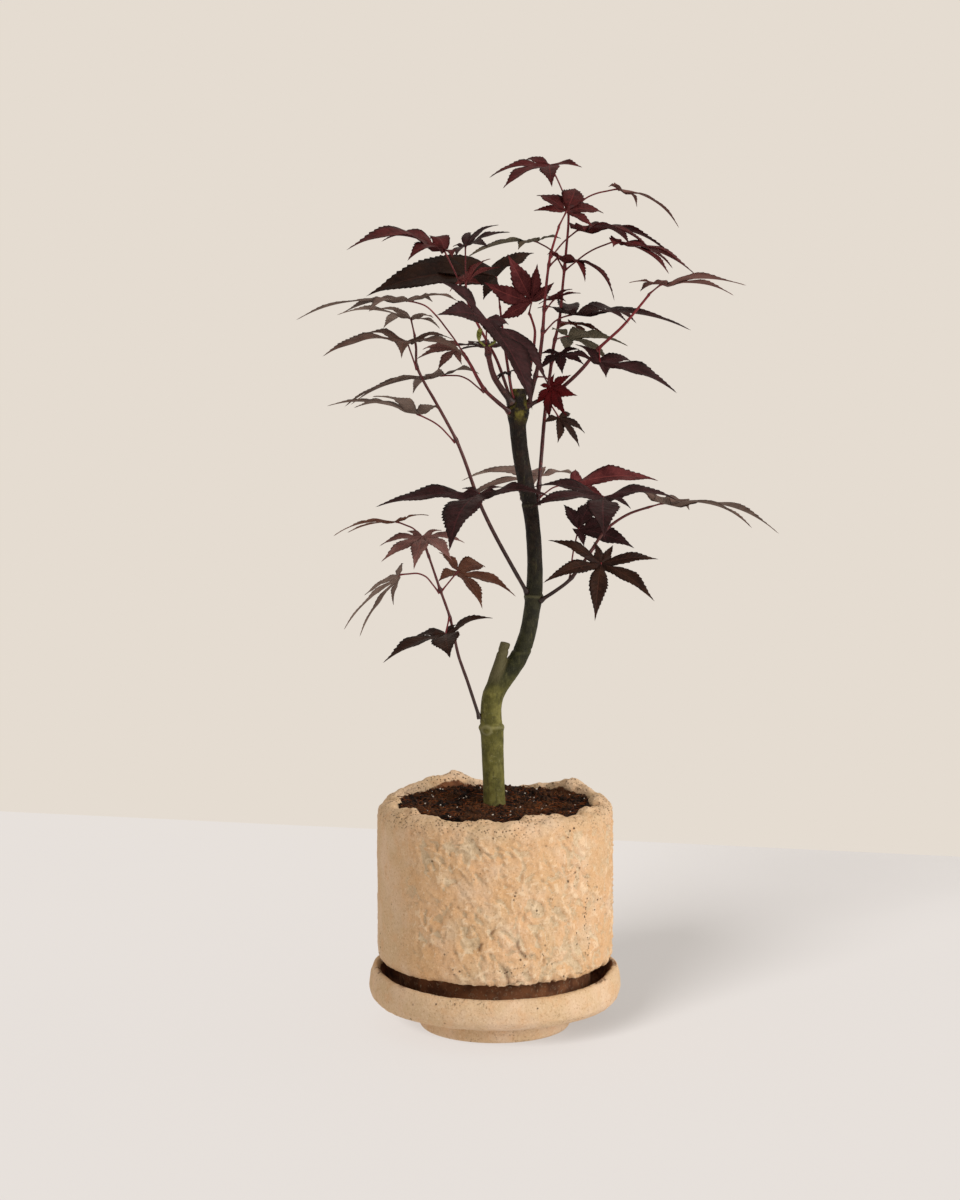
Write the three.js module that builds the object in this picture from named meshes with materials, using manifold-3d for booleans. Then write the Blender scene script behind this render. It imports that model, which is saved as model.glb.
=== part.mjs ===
// A young red-leaved Japanese maple grown as a bonsai: one bent trunk, eleven thin shoots and their
// leaves, rooted in a thick-walled clay pot that stands in a matching saucer.
// Millimetres, +Z up. The origin is the centre of the saucer's foot, on the surface it stands on,
// and -Y is the side the tree is looked at from.
import * as THREE from "three";
import { mergeVertices } from "three/addons/utils/BufferGeometryUtils.js";
import Module from "manifold-3d";

const manifold = await Module();
manifold.setup();

// ---- Driving dimensions ----
const GAP = 0.3; // left between pieces that touch

const TURNED_SIDES = 56; // facets round the pot and the saucer
const SOIL_SIDES = 28;

const SAUCER_RADIUS = 73.1;
const SAUCER_FOOT_RADIUS = 43.9;
const SAUCER_FOOT_HEIGHT = 12;
const SAUCER_FLOOR = 22.3; // height of the flat floor the pot's foot ring stands on
const SAUCER_FLOOR_RADIUS = 60;
const SAUCER_RIM = 32; // at the front and the back
const SAUCER_RIM_RISE = 4; // the rim was pressed a little higher at the left and the right

const POT_RADIUS = 68;
const POT_WALL = 12;
const POT_BOTTOM = 37.8; // underside of the body, about 5 mm over the saucer's rim
const POT_FOOT_RADIUS = 55.5;
const POT_FOOT_WIDTH = 11;
const POT_RECESS = 30; // underside of the pot inside its foot ring
const POT_FLOOR = 48; // inside
const POT_RIM = 128.5; // the outer edge of the lip
const RIM_CREST = 1.6; // the lip's crest, near its inner edge, stands this much higher
const DRAIN_RADIUS = 8;

const SOIL_TOP = 124.5; // at the trunk
const SOIL_RISE = 2.6; // higher where it meets the pot wall
const SOIL_HEAP = 3.4; // and higher still at the back, most of all at the back left
const SOIL_HEAP_TURN = 0.35; // how far the heap is turned to the left, in radians
const STUMP_BOTTOM = 104; // the trunk's buried end
const STUMP_RADIUS = 6.4;

// The rim was pressed by hand: [direction in degrees, half-width in degrees, rise in mm].
const RIM_BUMPS = [
  [116, 19, 8],
  [148, 20, 3],
  [80, 14, -1.8],
  [43, 15, 5.8],
  [12, 26, 2.6],
  [180, 22, 0.8],
  [262, 20, -0.7],
  [300, 14, 0.9],
];

// Trunk stations [x, y, z, radius], from the buried stump to the sawn top.
const TRUNK = [
  [0, 0, STUMP_BOTTOM, STUMP_RADIUS],
  [0, 0, 122, 6.5],
  [-0.3, 0, 130, 6.2],
  [-0.7, 0, 144, 6.1],
  [-1.3, -0.3, 160, 6.2],
  [-1.6, -0.8, 169, 6.4],
  [-2, -1, 173, 6.9],
  [-2.3, -1.4, 177, 6.2],
  [-2.2, -2, 184, 5.9],
  [-1, -2, 192, 6.1],
  [4, -1, 201, 6.2],
  [13, 0, 212, 5.1],
  [18.6, 1.8, 226, 4.6],
  [21, 3, 238, 4.5],
  [22, 3.8, 245, 4.7],
  [22.3, 4, 248, 5.1],
  [22.7, 4, 252, 4.6],
  [23, 4, 266, 4.3],
  [22, 3, 285, 4.1],
  [20, 3, 301, 4.4],
  [17, 2, 316, 4.5],
  [14.2, 0.6, 333, 4.4],
  [13, 0, 346, 4.6],
  [13, 0, 351, 5.8],
  [13, 0, 356, 6.3],
  [13, 0, 360, 5.2],
  [13, 0, 367, 4.2],
];
// The pruned stub where the first leader was cut off.
const STUB = [
  [-0.5, -2, 196, 4.6],
  [1, -2.6, 204, 3.6],
  [3, -3, 211, 3.1],
  [6, -3, 222, 2.8],
];

// Shoots: radius at the foot and at the end, and the way each one runs. They all leave the trunk.
const SHOOTS = {
  low_left: [0.95, 0.6, [-8, -3, 180], [-16, -8, 201], [-21, -12, 216], [-25.5, -15, 237], [-31, -17, 253],
    [-35, -18, 265], [-39, -20, 277]],
  mid_left: [1.15, 0.6, [17, 1, 252], [1, -12, 282], [-9, -20, 303], [-16, -24, 323], [-22, -26, 338],
    [-34, -29, 360], [-43.5, -30, 378], [-44, -30, 388], [-45, -29, 396]],
  mid_right: [1.1, 0.65, [27, 2, 247], [42, -8, 258], [54, -8, 274], [63, -8, 287], [76, -8, 296],
    [88, -8, 300]],
  leader: [1.15, 0.6, [24, 7, 302], [27, 10, 332], [29, 12, 355], [32, 14, 378], [34, 15, 393],
    [37, 15, 406], [39, 14, 427], [41, 12, 449], [42, 11, 467], [40, 10, 476]],
  tall: [1.2, 0.6, [22, 2, 360], [25, 1, 383], [27, 0, 399], [28, -2, 414], [31, -5, 441], [36, -8, 458]],
  right: [1.2, 0.65, [20, -3, 358], [37, -7, 367], [50, -11, 379], [58, -15, 389], [71, -19, 401],
    [86, -22, 419]],
  crown_left: [1.2, 0.75, [6, -3, 355], [-6, -14, 366], [-13, -23, 378], [-18, -30, 386]],
  crown_bud: [1.8, 1.4, [8, -6, 361], [-1, -14, 374], [-5, -20, 391]],
  crown_fork: [0.95, 0.6, [9, 5, 362], [1, 12, 384], [-9, 18, 403], [-15, 21, 416], [-16, 21, 421]],
  crown_inner: [0.95, 0.6, [11, 6, 359], [6, 18, 390], [3, 31, 416]],
  crown_centre: [0.95, 0.65, [17, 5, 361], [22, 12, 390], [23, 15, 401], [20, 18, 411]],
};

// Leaves, by the shoot that carries them. Each one: the points its stalk passes (the first lies on
// the shoot), the place where the lobes meet, the tip of the middle lobe, the way its upper face
// looks, its lobes (a count, or a list of [degrees from the middle lobe, share of its length]),
// and what sets it apart from a plain leaf.
const LEAVES = {
  low_left: [
    [[[-26, -15, 237]], [-28, -22, 229], [-25, -60, 219], [-0.3, -0.3, 0.9],
      [[140, 0.3], [97, 0.72], [0, 1], [-70, 1.02], [-118, 0.55]], { cup: 0, width: 1.2 }],
    [[[-31, -17, 253]], [-21, -18, 264], [12, -24, 251], [0.4, 0.45, 0.8], 5, { spread: 1.2 }],
    [[[-31, -17, 253], [-41, -18, 262]], [-54, -18, 262], [-86, -38, 234], [-0.7, 0.25, 0.65], 5,
      { spread: 0.8, arch: 0.02, width: 0.6 }],
    [[[-39, -20, 277]], [-41, -23, 284], [-45, -52, 268], [-0.1, -0.45, 0.9], 7, {}],
    [[[-38, -19, 273], [-44, -14, 286]], [-55, -22, 292], [-90, -41, 286], [-0.15, 0.1, 1],
      [[128, 0.5], [85, 0.4], [0, 1], [-42, 0.75], [-110, 0.25]], { cup: 0, arch: 0.07, width: 0.6 }],
  ],
  mid_left: [
    [[[-8, -20, 303]], [-9, -31, 308], [-25, -91, 280], [-0.15, -0.4, 0.9],
      [[125, 0.22], [84, 0.62], [0, 1], [-76, 0.86], [-125, 0.22]], { cup: 0, width: 0.85 }],
    [[[-22, -26, 338], [-32, -27, 346]], [-43, -27, 352], [-93, -37, 358], [0.1, 0.05, 1], 5,
      { cup: -0.1, width: 0.8 }],
    [[[-43.5, -30, 378]], [-49, -34, 392], [-52, -84, 375], [0, -0.3, 0.95],
      [[108, 0.5], [55, 0.8], [0, 0.6], [-54, 1], [-108, 0.6]], { cup: 0, width: 0.75, arch: 0.1 }],
    [[[-45, -29, 396]], [-47, -28, 405], [-88, -25, 409], [0.1, 0.05, 1], 5,
      { spread: 1.25, cup: 0.05, width: 0.7 }],
  ],
  mid_right: [
    [[[54, -8, 274], [57, -18, 277]], [59, -30, 269], [54, -62, 240], [0.15, -0.65, 0.75], 7,
      { spread: 1.25, cup: -0.15, width: 0.82 }],
    [[[43, -8, 260], [45, 0, 275]], [48, 4, 287], [80, 0, 276], [0.15, -0.7, 0.7],
      [[132, 0.6], [85, 0.75], [45, 0.6], [0, 1], [-60, 0.4]], { cup: 0, width: 1.15 }],
    [[[63, -8, 287], [62, -12, 297]], [61, -18, 306], [58, -73, 285], [0.05, -0.35, 0.9],
      [[100, 0.72], [48, 0.35], [0, 1], [-62, 0.8], [-105, 0.72]], { cup: 0, width: 0.9 }],
    [[[88, -8, 300]], [95, -7, 302], [164, 4, 286], [0.2, 0, 1],
      [[112, 0.55], [54, 0.62], [0, 1], [-40, 0.8], [-112, 0.45]], { cup: 0, arch: 0.1, width: 0.75 }],
  ],
  leader: [
    [[[25, 8, 312]], [26, 34, 317], [-20, 64, 315], [-0.15, -0.15, 1], 5, { cup: 0.2 }],
    [[[24, 7, 306], [34, 5, 311]], [45, 3, 313], [95, 16, 315], [0.05, -0.5, 0.85],
      [[70, 0.32], [0, 1], [-50, 0.42]], { cup: 0, arch: 0.07, width: 0.95 }],
    [[[33, 14, 383]], [37, 6, 388], [38, -8, 375], [-0.1, -0.65, 0.75], 5, {}],
    [[[35, 15, 396]], [41, -2, 397], [75, -12, 391], [0.25, 0.2, 0.95], 5, { cup: 0.2 }],
    [[[37, 15, 406]], [43, 8, 405], [64, 12, 398], [0.3, 0.1, 0.95], 5, { cup: 0.2 }],
    [[[40, 13, 437], [33, 14, 446]], [23, 14, 452], [-16, -4, 441], [-0.2, -0.15, 1],
      [[120, 0.4], [40, 0.6], [0, 1], [-110, 0.35]], { cup: 0.05, width: 1.2 }],
    [[[40, 13, 436], [54, 4, 445]], [68, -5, 450], [116, -6, 430], [0.35, -0.2, 0.9],
      [[90, 0.35], [34, 0.85], [0, 1], [-34, 0.8], [-90, 0.4]], { cup: 0.1 }],
    [[[42, 11, 468], [54, 11, 477]], [70, 10, 481], [106, 14, 460], [0.5, -0.05, 0.85],
      [[110, 0.3], [44, 0.55], [0, 1], [-110, 0.3]], { cup: 0.05, arch: 0.12, width: 0.75 }],
    [[[40, 10, 476], [35, 8, 487]], [31, 6, 494], [4, -16, 478], [-0.15, -0.4, 0.9], 5,
      { spread: 0.95, cup: 0 }],
  ],
  tall: [
    [[[24, 1, 374], [29, -6, 373]], [31, -13, 368], [40, -19, 351], [-0.5, -0.8, -0.2], 7,
      { cup: 0.1, width: 1.2 }],
    [[[27, 0, 400], [35, 1, 406]], [43, 0, 409], [114, 22, 402], [0.1, -0.1, 1], 7,
      { spread: 0.9, cup: -0.05, width: 0.9 }],
    [[[28, -2, 412]], [33, -7, 417], [43, -20, 422], [-0.3, 0.15, 0.95], 5, {}],
    [[[30.5, -4.5, 437]], [35, -9, 440], [68, -14, 417], [0.45, -0.15, 0.9],
      [[100, 0.25], [0, 1], [-38, 0.72], [-110, 0.3]], { cup: 0.05, arch: 0.18, width: 1.2 }],
    [[[31, -5, 442], [39, -1, 450]], [47, 4, 457], [104, 14, 443], [0.3, -0.1, 0.95],
      [[90, 0.35], [36, 0.8], [0, 1], [-42, 0.85], [-92, 0.4]], { cup: 0, arch: 0.12 }],
    [[[36, -8, 458]], [40, -9, 466], [46, 15, 482], [0.2, -0.55, 0.8], 5,
      { cup: 0.2, width: 1.3 }],
  ],
  right: [
    [[[29, -5, 362]], [36, -5, 351], [48, -10, 334], [0.5, -0.6, 0.65], 5, { spread: 0.9 }],
    [[[58, -15, 389]], [58, -26, 381], [101, -30, 364], [0.3, -0.4, 0.85],
      [[145, 0.45], [55, 0.6], [0, 1], [-68, 0.42], [-150, 0.5]], { cup: 0, width: 1.1 }],
    [[[86, -22, 419]], [92, -24, 424], [136, -50, 421], [0.15, 0, 1],
      [[140, 0.55], [28, 0.8], [0, 1], [-65, 0.35], [-150, 0.35]], { cup: 0.05, width: 0.8 }],
  ],
  crown_left: [
    [[[-6, -14, 366], [-18, -18, 373]], [-30, -16, 374], [-87, 8, 359], [-0.25, 0, 0.95], 5,
      { cup: 0.05, arch: 0.06, width: 0.65 }],
    [[[-16, -27, 383]], [-22, -24, 389], [-44, -20, 383], [-0.45, 0.5, 0.75], 5,
      { spread: 0.85, cup: 0.2 }],
    [[[-18, -30, 386], [-25, -38, 396], [-38, -50, 410]], [-47, -49, 413], [-108, -62, 404],
      [-0.1, -0.08, 1], 5, { spread: 1.2, cup: 0.05, arch: 0.06, width: 0.6 }],
  ],
  crown_bud: [
    [[[-4, -18, 386]], [-3, -11, 390], [-16, 20, 393], [0, -0.1, 1], 5, { spread: 0.9 }],
    [[[-5, -20, 391], [-5, -28, 400]], [-5, -36, 404], [21, -66, 355], [0.6, -0.5, 0.6],
      [[92, 0.32], [34, 0.8], [0, 1], [-88, 0.6], [-140, 0.55]], { cup: 0.05, width: 1.05 }],
  ],
  crown_fork: [
    [[[-12, 19, 409], [-16, 15, 418]], [-17, 11, 429], [-3, -4, 441], [-0.45, 0.15, 0.85], 5, { cup: 0.2 }],
    [[[-15, 21, 415], [-22, 15, 432]], [-29, 11, 446], [-84, -6, 446], [0.15, -0.3, 0.95],
      [[90, 0.3], [38, 0.6], [0, 1], [-40, 0.7], [-88, 0.5]], { cup: 0, arch: 0.14, width: 1.2 }],
    [[[-16, 21, 421], [-17, 23, 436]], [-17, 23, 450], [9, 15, 457], [-0.35, -0.35, 0.85], 7,
      { spread: 1.15, cup: -0.1 }],
  ],
  crown_inner: [
    [[[3, 31, 416]], [1, 43, 434], [-76, 42, 424], [-0.15, -0.65, 0.75],
      [[65, 0.3], [0, 1], [-26, 0.72], [-140, 0.42]], { cup: 0, width: 1.12 }],
  ],
  crown_centre: [
    [[[20, 18, 411]], [21, 11, 417], [7, 0, 443], [-0.1, -0.9, 0.2],
      [[92, 0.7], [40, 0.95], [0, 1], [-36, 0.7], [-80, 0.55]], { cup: 0.15, width: 1.02 }],
  ],
  trunk: [[[[10, -3, 363]], [7, -10, 376], [1, -17, 371], [-0.4, -0.3, 0.9], 5, {}]],
};

// Each lobe's direction (degrees from the middle lobe) and length (share of the middle lobe's).
const LOBES = {
  5: { angles: [100, 48, 0, -48, -100], lengths: [0.62, 0.92, 1, 0.92, 0.62], halfWidth: 0.165 },
  7: { angles: [128, 82, 40, 0, -40, -82, -128], lengths: [0.38, 0.74, 0.93, 1, 0.93, 0.74, 0.38],
    halfWidth: 0.14 },
};
const NOTCH = 0.15; // how far from the centre two lobes part, as a share of the leaf's length
const BELLY = 0.46; // where along its rib a lobe is widest
const SHOULDER = 0.74; // where it starts to draw out into its tip
const SHOULDER_WIDTH = 0.52; // half-width there, as a share of the belly's
const CHANNEL = 0.22; // how far a lobe's edges stand above its rib, as a share of its half-width
const RIB_THICKNESS = 0.66;
const STALK_RADIUS = 0.5;
const STALK_SPREAD = 0.9; // half-width of the stalk where it opens into the blade
const STALK_RINGS = 5;
const PLAIN_LEAF = { spread: 1, cup: 0.1, arch: 0.07, width: 1 };

// ---- Materials ----
const paint = (color, roughness) => new THREE.MeshStandardMaterial({ color, roughness, metalness: 0 });
const CLAY = paint(0xd9b48a, 0.9);
const SOIL = paint(0x33251c, 1);
const BARK = paint(0x4a4a2c, 0.8);
const SHOOT = paint(0x6a1c26, 0.6);
const LEAF = paint(0x45181f, 0.6);

// ---- Shared shapes ----
const vector = ([x, y, z]) => new THREE.Vector3(x, y, z);

/** The same vector without its share along `axis`, at unit length. */
function squaredTo(axis, direction) {
  return direction.clone().addScaledVector(axis, -axis.dot(direction)).normalize();
}

/** Shares its vertices out again, so that the surface is closed. */
function closed(geometry) {
  const bare = new THREE.BufferGeometry();
  bare.setAttribute("position", geometry.attributes.position);
  bare.setIndex(geometry.index);
  const merged = mergeVertices(bare, 1e-3);
  merged.computeVertexNormals();
  return merged;
}

/** Turns an outline of [radius, height] points about the Z axis, from outside bottom to inside top. */
function turned(outline, sides) {
  const points = outline.map(([radius, height]) => new THREE.Vector2(radius, height));
  return new THREE.LatheGeometry(points, sides).rotateX(Math.PI / 2);
}

/** Moves each vertex by what `shift` does to it. */
function reshape(geometry, shift) {
  const position = geometry.attributes.position;
  const vertex = new THREE.Vector3();
  for (let i = 0; i < position.count; i++) {
    shift(vertex.fromBufferAttribute(position, i));
    position.setXYZ(i, vertex.x, vertex.y, vertex.z);
  }
  return geometry;
}

/** A smooth path through [x, y, z, radius] stations, which knows its radius everywhere. */
class Limb {
  constructor(stations) {
    this.path = new THREE.CatmullRomCurve3(stations.map(vector), false, "centripetal");
    this.radii = stations.map((station) => station[3]);
  }

  radiusAt(t) {
    const last = this.radii.length - 1;
    const before = Math.min(Math.floor(t * last), last - 1);
    return THREE.MathUtils.lerp(this.radii[before], this.radii[before + 1], t * last - before);
  }

  /** Where along the path (0 to 1) it comes closest to a point. */
  nearest(point) {
    const steps = 400;
    let best = 0;
    for (let i = 1; i <= steps; i++) {
      if (this.path.getPoint(i / steps).distanceTo(point) < this.path.getPoint(best).distanceTo(point))
        best = i / steps;
    }
    return best;
  }

  /** Where a side shoot heading for `next` starts, clear of this limb's surface. */
  outlet(near, next, shootRadius) {
    const t = this.nearest(near);
    const centre = this.path.getPoint(t);
    const along = this.path.getTangent(t).normalize();
    if (t === 1) return centre.addScaledVector(along, GAP + shootRadius * 0.6);
    const outwards = squaredTo(along, next.clone().sub(centre));
    return centre.addScaledVector(outwards, this.radiusAt(t) + GAP + shootRadius);
  }

  /** The closed solid: a cylinder bent along the path. */
  solid(sides, ringsPerStation) {
    const rings = (this.radii.length - 1) * ringsPerStation;
    const frames = [];
    let side = new THREE.Vector3(1, 0, 0);
    for (let i = 0; i <= rings; i++) {
      const along = this.path.getTangent(i / rings).normalize();
      side = squaredTo(along, side);
      frames.push({ side, up: side.clone().cross(along), centre: this.path.getPoint(i / rings) });
    }
    const bent = new THREE.CylinderGeometry(1, 1, 1, sides, rings);
    return reshape(bent, (vertex) => {
      const ring = Math.round((vertex.y + 0.5) * rings);
      const radius = this.radiusAt(ring / rings);
      const { side: across, up, centre } = frames[ring];
      const [x, z] = [vertex.x * radius, vertex.z * radius];
      vertex.copy(centre).addScaledVector(across, x).addScaledVector(up, z);
    });
  }
}

// ---- The holder ----
function saucer() {
  const outline = [
    [0, 0],
    [SAUCER_FOOT_RADIUS - 0.9, 0],
    [SAUCER_FOOT_RADIUS, 1],
    [SAUCER_FOOT_RADIUS + 0.5, SAUCER_FOOT_HEIGHT - 1.5],
    [SAUCER_FOOT_RADIUS + 3, SAUCER_FOOT_HEIGHT],
    [62, SAUCER_FOOT_HEIGHT + 0.6],
    [SAUCER_RADIUS - 4.6, 14.8],
    [SAUCER_RADIUS - 1.1, 18.5],
    [SAUCER_RADIUS, 23.5],
    [SAUCER_RADIUS - 0.6, SAUCER_RIM - 4],
    [SAUCER_RADIUS - 2.3, SAUCER_RIM - 0.8],
    [SAUCER_RADIUS - 4.6, SAUCER_RIM],
    [66.5, SAUCER_RIM - 1.6],
    [64.3, SAUCER_RIM - 5],
    [SAUCER_FLOOR_RADIUS + 1.5, SAUCER_FLOOR + 0.8],
    [SAUCER_FLOOR_RADIUS, SAUCER_FLOOR],
    [0, SAUCER_FLOOR],
  ];
  return reshape(turned(outline, TURNED_SIDES), (vertex) => {
    const share = THREE.MathUtils.smoothstep(vertex.z, SAUCER_FLOOR + 1, SAUCER_RIM);
    const sideways = vertex.x / Math.hypot(vertex.x, vertex.y, 1e-6);
    vertex.z += share * SAUCER_RIM_RISE * sideways ** 4;
  });
}

/** How far the hand-pressed rim stands above its mean height in one direction. */
function rimRise(degrees) {
  return RIM_BUMPS.reduce((rise, [centre, halfWidth, height]) => {
    const off = THREE.MathUtils.euclideanModulo(degrees - centre + 180, 360) - 180;
    return rise + height * Math.exp(-((off / halfWidth) ** 2));
  }, 0);
}

function pot() {
  const inside = POT_RADIUS - POT_WALL;
  const footInside = POT_FOOT_RADIUS - POT_FOOT_WIDTH;
  const footBottom = SAUCER_FLOOR + GAP;
  const outline = [
    [DRAIN_RADIUS, POT_RECESS],
    [footInside - 1, POT_RECESS],
    [footInside, footBottom],
    [POT_FOOT_RADIUS - 1.5, footBottom],
    [POT_FOOT_RADIUS, footBottom + 1.5],
    [POT_FOOT_RADIUS, POT_BOTTOM - 0.8],
    [POT_FOOT_RADIUS + 4, POT_BOTTOM],
    [POT_RADIUS - 2.4, POT_BOTTOM + 1],
    [POT_RADIUS - 0.5, POT_BOTTOM + 4],
    [POT_RADIUS, POT_BOTTOM + 9],
    [POT_RADIUS, 62],
    [POT_RADIUS, 78],
    [POT_RADIUS, 94],
    [POT_RADIUS, 110],
    [POT_RADIUS, 121],
    [POT_RADIUS - 0.8, POT_RIM - 2.4],
    [POT_RADIUS - 3.4, POT_RIM],
    [POT_RADIUS - 7.5, POT_RIM + RIM_CREST],
    [inside + 1.3, POT_RIM + RIM_CREST * 0.5],
    [inside, POT_RIM - 3],
    [inside, 90],
    [inside, POT_FLOOR + 2],
    [inside - 2, POT_FLOOR],
    [DRAIN_RADIUS, POT_FLOOR],
    [DRAIN_RADIUS, POT_RECESS],
  ];
  const rimStarts = 108;
  return reshape(turned(outline, TURNED_SIDES), (vertex) => {
    const share = THREE.MathUtils.smoothstep(vertex.z, rimStarts, POT_RIM);
    const degrees = THREE.MathUtils.radToDeg(Math.atan2(vertex.y, vertex.x));
    vertex.z += share * rimRise(degrees);
  });
}

/** One plug of soil with a pocket for the trunk's buried end. */
function soil() {
  const radius = POT_RADIUS - POT_WALL - GAP;
  const pocket = STUMP_RADIUS + 0.9;
  const outline = [
    [0, POT_FLOOR + GAP],
    [radius - 2.5, POT_FLOOR + GAP],
    [radius, POT_FLOOR + GAP + 2.5],
    [radius, SOIL_TOP + SOIL_RISE],
    [44, SOIL_TOP + SOIL_RISE * 0.5],
    [26, SOIL_TOP],
    [pocket, SOIL_TOP],
    [pocket, STUMP_BOTTOM - GAP],
    [0, STUMP_BOTTOM - GAP],
  ];
  return reshape(turned(outline, SOIL_SIDES), (vertex) => {
    const outwards = THREE.MathUtils.smoothstep(Math.hypot(vertex.x, vertex.y), 20, radius);
    const backwards = Math.max(0, Math.sin(Math.atan2(vertex.y, vertex.x) - SOIL_HEAP_TURN));
    if (vertex.z > SOIL_TOP - 1) vertex.z += outwards * backwards * SOIL_HEAP;
  });
}

// ---- The tree ----
/** A three.js geometry as a manifold-3d solid, and back. */
function toManifold(geometry) {
  const whole = closed(geometry);
  const triVerts = new Uint32Array(whole.index.array);
  const vertProperties = whole.attributes.position.array;
  return new manifold.Manifold(new manifold.Mesh({ numProp: 3, vertProperties, triVerts }));
}

function fromManifold(solid) {
  const mesh = solid.getMesh();
  const geometry = new THREE.BufferGeometry();
  geometry.setAttribute("position", new THREE.BufferAttribute(mesh.vertProperties, 3));
  return geometry.setIndex(new THREE.BufferAttribute(mesh.triVerts, 1));
}

const trunkLimb = new Limb(TRUNK);

function trunk() {
  const stem = toManifold(trunkLimb.solid(16, 2));
  const stub = toManifold(new Limb(STUB).solid(12, 2));
  return fromManifold(stem.add(stub));
}

/** A shoot's limb, moved at its foot so that it starts on the trunk's bark. */
function shootLimb([footRadius, endRadius, ...points]) {
  const [first, second] = points.map(vector);
  const foot = trunkLimb.outlet(first, second, footRadius);
  const stations = [foot.toArray(), ...points.slice(1)];
  const radiusAt = (i) => THREE.MathUtils.lerp(footRadius, endRadius, i / (stations.length - 1));
  return new Limb(stations.map((point, i) => [...point, radiusAt(i)]));
}

/** Gathers vertices and faces of a leaf. */
class Surface {
  constructor() {
    this.vertices = [];
    this.faces = [];
  }

  add(point) {
    this.vertices.push(...point.toArray());
    return this.vertices.length / 3 - 1;
  }

  face(...corners) {
    for (let i = 2; i < corners.length; i++) this.faces.push(corners[0], corners[i - 1], corners[i]);
  }

  geometry() {
    const made = new THREE.BufferGeometry();
    made.setAttribute("position", new THREE.Float32BufferAttribute(this.vertices, 3));
    return made.setIndex(this.faces);
  }
}

/**
 * A palmate leaf with its stalk, as one closed surface. Both faces of the blade share a sharp
 * outline, which runs from the left of the stalk round every lobe to its right. The ribs stand
 * apart by the blade's thickness, and the last ring of the stalk is where the blade begins.
 */
function leaf(stalkPoints, base, tip, face, lobes, { spread, cup, arch, width: breadth }) {
  const { angles, lengths, halfWidth } = LOBES[lobes] ?? {
    angles: lobes.map((lobe) => lobe[0]),
    lengths: lobes.map((lobe) => lobe[1]),
    halfWidth: LOBES[5].halfWidth,
  };
  const length = tip.distanceTo(base);
  const forward = tip.clone().sub(base).normalize();
  const up = squaredTo(forward, face);
  const left = up.clone().cross(forward);
  const surface = new Surface();

  const inBlade = (degrees, distance) => {
    const angle = THREE.MathUtils.degToRad(degrees * spread);
    return forward.clone().multiplyScalar(Math.cos(angle) * distance)
      .addScaledVector(left, Math.sin(angle) * distance)
      .addScaledVector(up, -Math.abs(Math.sin(angle)) * cup * distance);
  };
  const bladePoint = (degrees, distance) => surface.add(base.clone().add(inBlade(degrees, distance)));

  // The hub, where ribs and stalk meet.
  const thickness = up.clone().multiplyScalar(RIB_THICKNESS / 2);
  const hub = {
    top: surface.add(base.clone().add(thickness)),
    bottom: surface.add(base.clone().sub(thickness)),
    left: surface.add(base.clone().addScaledVector(left, STALK_SPREAD)),
    right: surface.add(base.clone().addScaledVector(left, -STALK_SPREAD)),
  };

  // The notches either side of each lobe.
  const outer = angles[0] + 30;
  const between = angles.slice(1).map((angle, i) => (angle + angles[i]) / 2);
  const notches = [
    bladePoint(outer, length * NOTCH * 0.7),
    ...between.map((angle) => bladePoint(angle, length * NOTCH)),
    bladePoint(-outer, length * NOTCH * 0.7),
  ];
  surface.face(hub.top, notches[0], hub.left);
  surface.face(hub.bottom, hub.left, notches[0]);
  surface.face(hub.top, hub.right, notches.at(-1));
  surface.face(hub.bottom, notches.at(-1), hub.right);

  // The lobes.
  angles.forEach((angle, i) => {
    const reach = length * lengths[i];
    const width = reach * halfWidth * breadth * Math.min(1, spread);
    const away = inBlade(angle, 1);
    const across = up.clone().cross(away).normalize();
    const rib = (share) => base.clone().addScaledVector(away, reach * share)
      .addScaledVector(up, reach * arch * 4 * share * (1 - share));
    const ribPair = (share, depth) => ({
      top: surface.add(rib(share).addScaledVector(thickness, depth)),
      bottom: surface.add(rib(share).addScaledVector(thickness, -depth)),
    });
    const edge = (share, halfway) => surface.add(
      rib(share).addScaledVector(across, halfway).addScaledVector(up, Math.abs(halfway) * CHANNEL),
    );
    const belly = ribPair(BELLY, 1);
    const shoulder = ribPair(SHOULDER, 0.8);
    const end = surface.add(rib(1));
    const margin = (side, notch, flip) => {
      const wide = edge(BELLY, side * width);
      const narrow = edge(SHOULDER, side * width * SHOULDER_WIDTH);
      for (const [sheet, turn] of [["top", flip], ["bottom", !flip]]) {
        const strip = [
          [hub[sheet], belly[sheet], notch],
          [notch, belly[sheet], wide],
          [belly[sheet], shoulder[sheet], wide],
          [wide, shoulder[sheet], narrow],
          [shoulder[sheet], end, narrow],
        ];
        strip.forEach((corners) => surface.face(...(turn ? corners.reverse() : corners)));
      }
    };
    margin(1, notches[i], false);
    margin(-1, notches[i + 1], true);
  });

  // The stalk, drawn back from the hub ring by ring.
  const path = new THREE.CatmullRomCurve3([...stalkPoints, base], false, "centripetal");
  let ring = [hub.top, hub.left, hub.bottom, hub.right];
  let side = left;
  for (let i = STALK_RINGS - 1; i >= 0; i--) {
    const along = path.getTangentAt(i / STALK_RINGS).normalize();
    side = squaredTo(along, side);
    const above = along.clone().cross(side);
    const centre = path.getPointAt(i / STALK_RINGS);
    const corners = [[above, 1], [side, 1], [above, -1], [side, -1]];
    const previous = corners.map(([direction, sign]) =>
      surface.add(centre.clone().addScaledVector(direction, sign * STALK_RADIUS)));
    for (let k = 0; k < 4; k++) {
      const next = (k + 1) % 4;
      surface.face(ring[k], ring[next], previous[next], previous[k]);
    }
    ring = previous;
  }
  surface.face(...ring);
  return surface.geometry();
}

// ---- The assembly ----
const group = new THREE.Group();

function piece(name, geometry, material) {
  const mesh = new THREE.Mesh(closed(geometry), material);
  mesh.name = name;
  group.add(mesh);
}

piece("saucer", saucer(), CLAY);
piece("pot", pot(), CLAY);
piece("soil", soil(), SOIL);
piece("trunk", trunk(), BARK);

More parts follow.
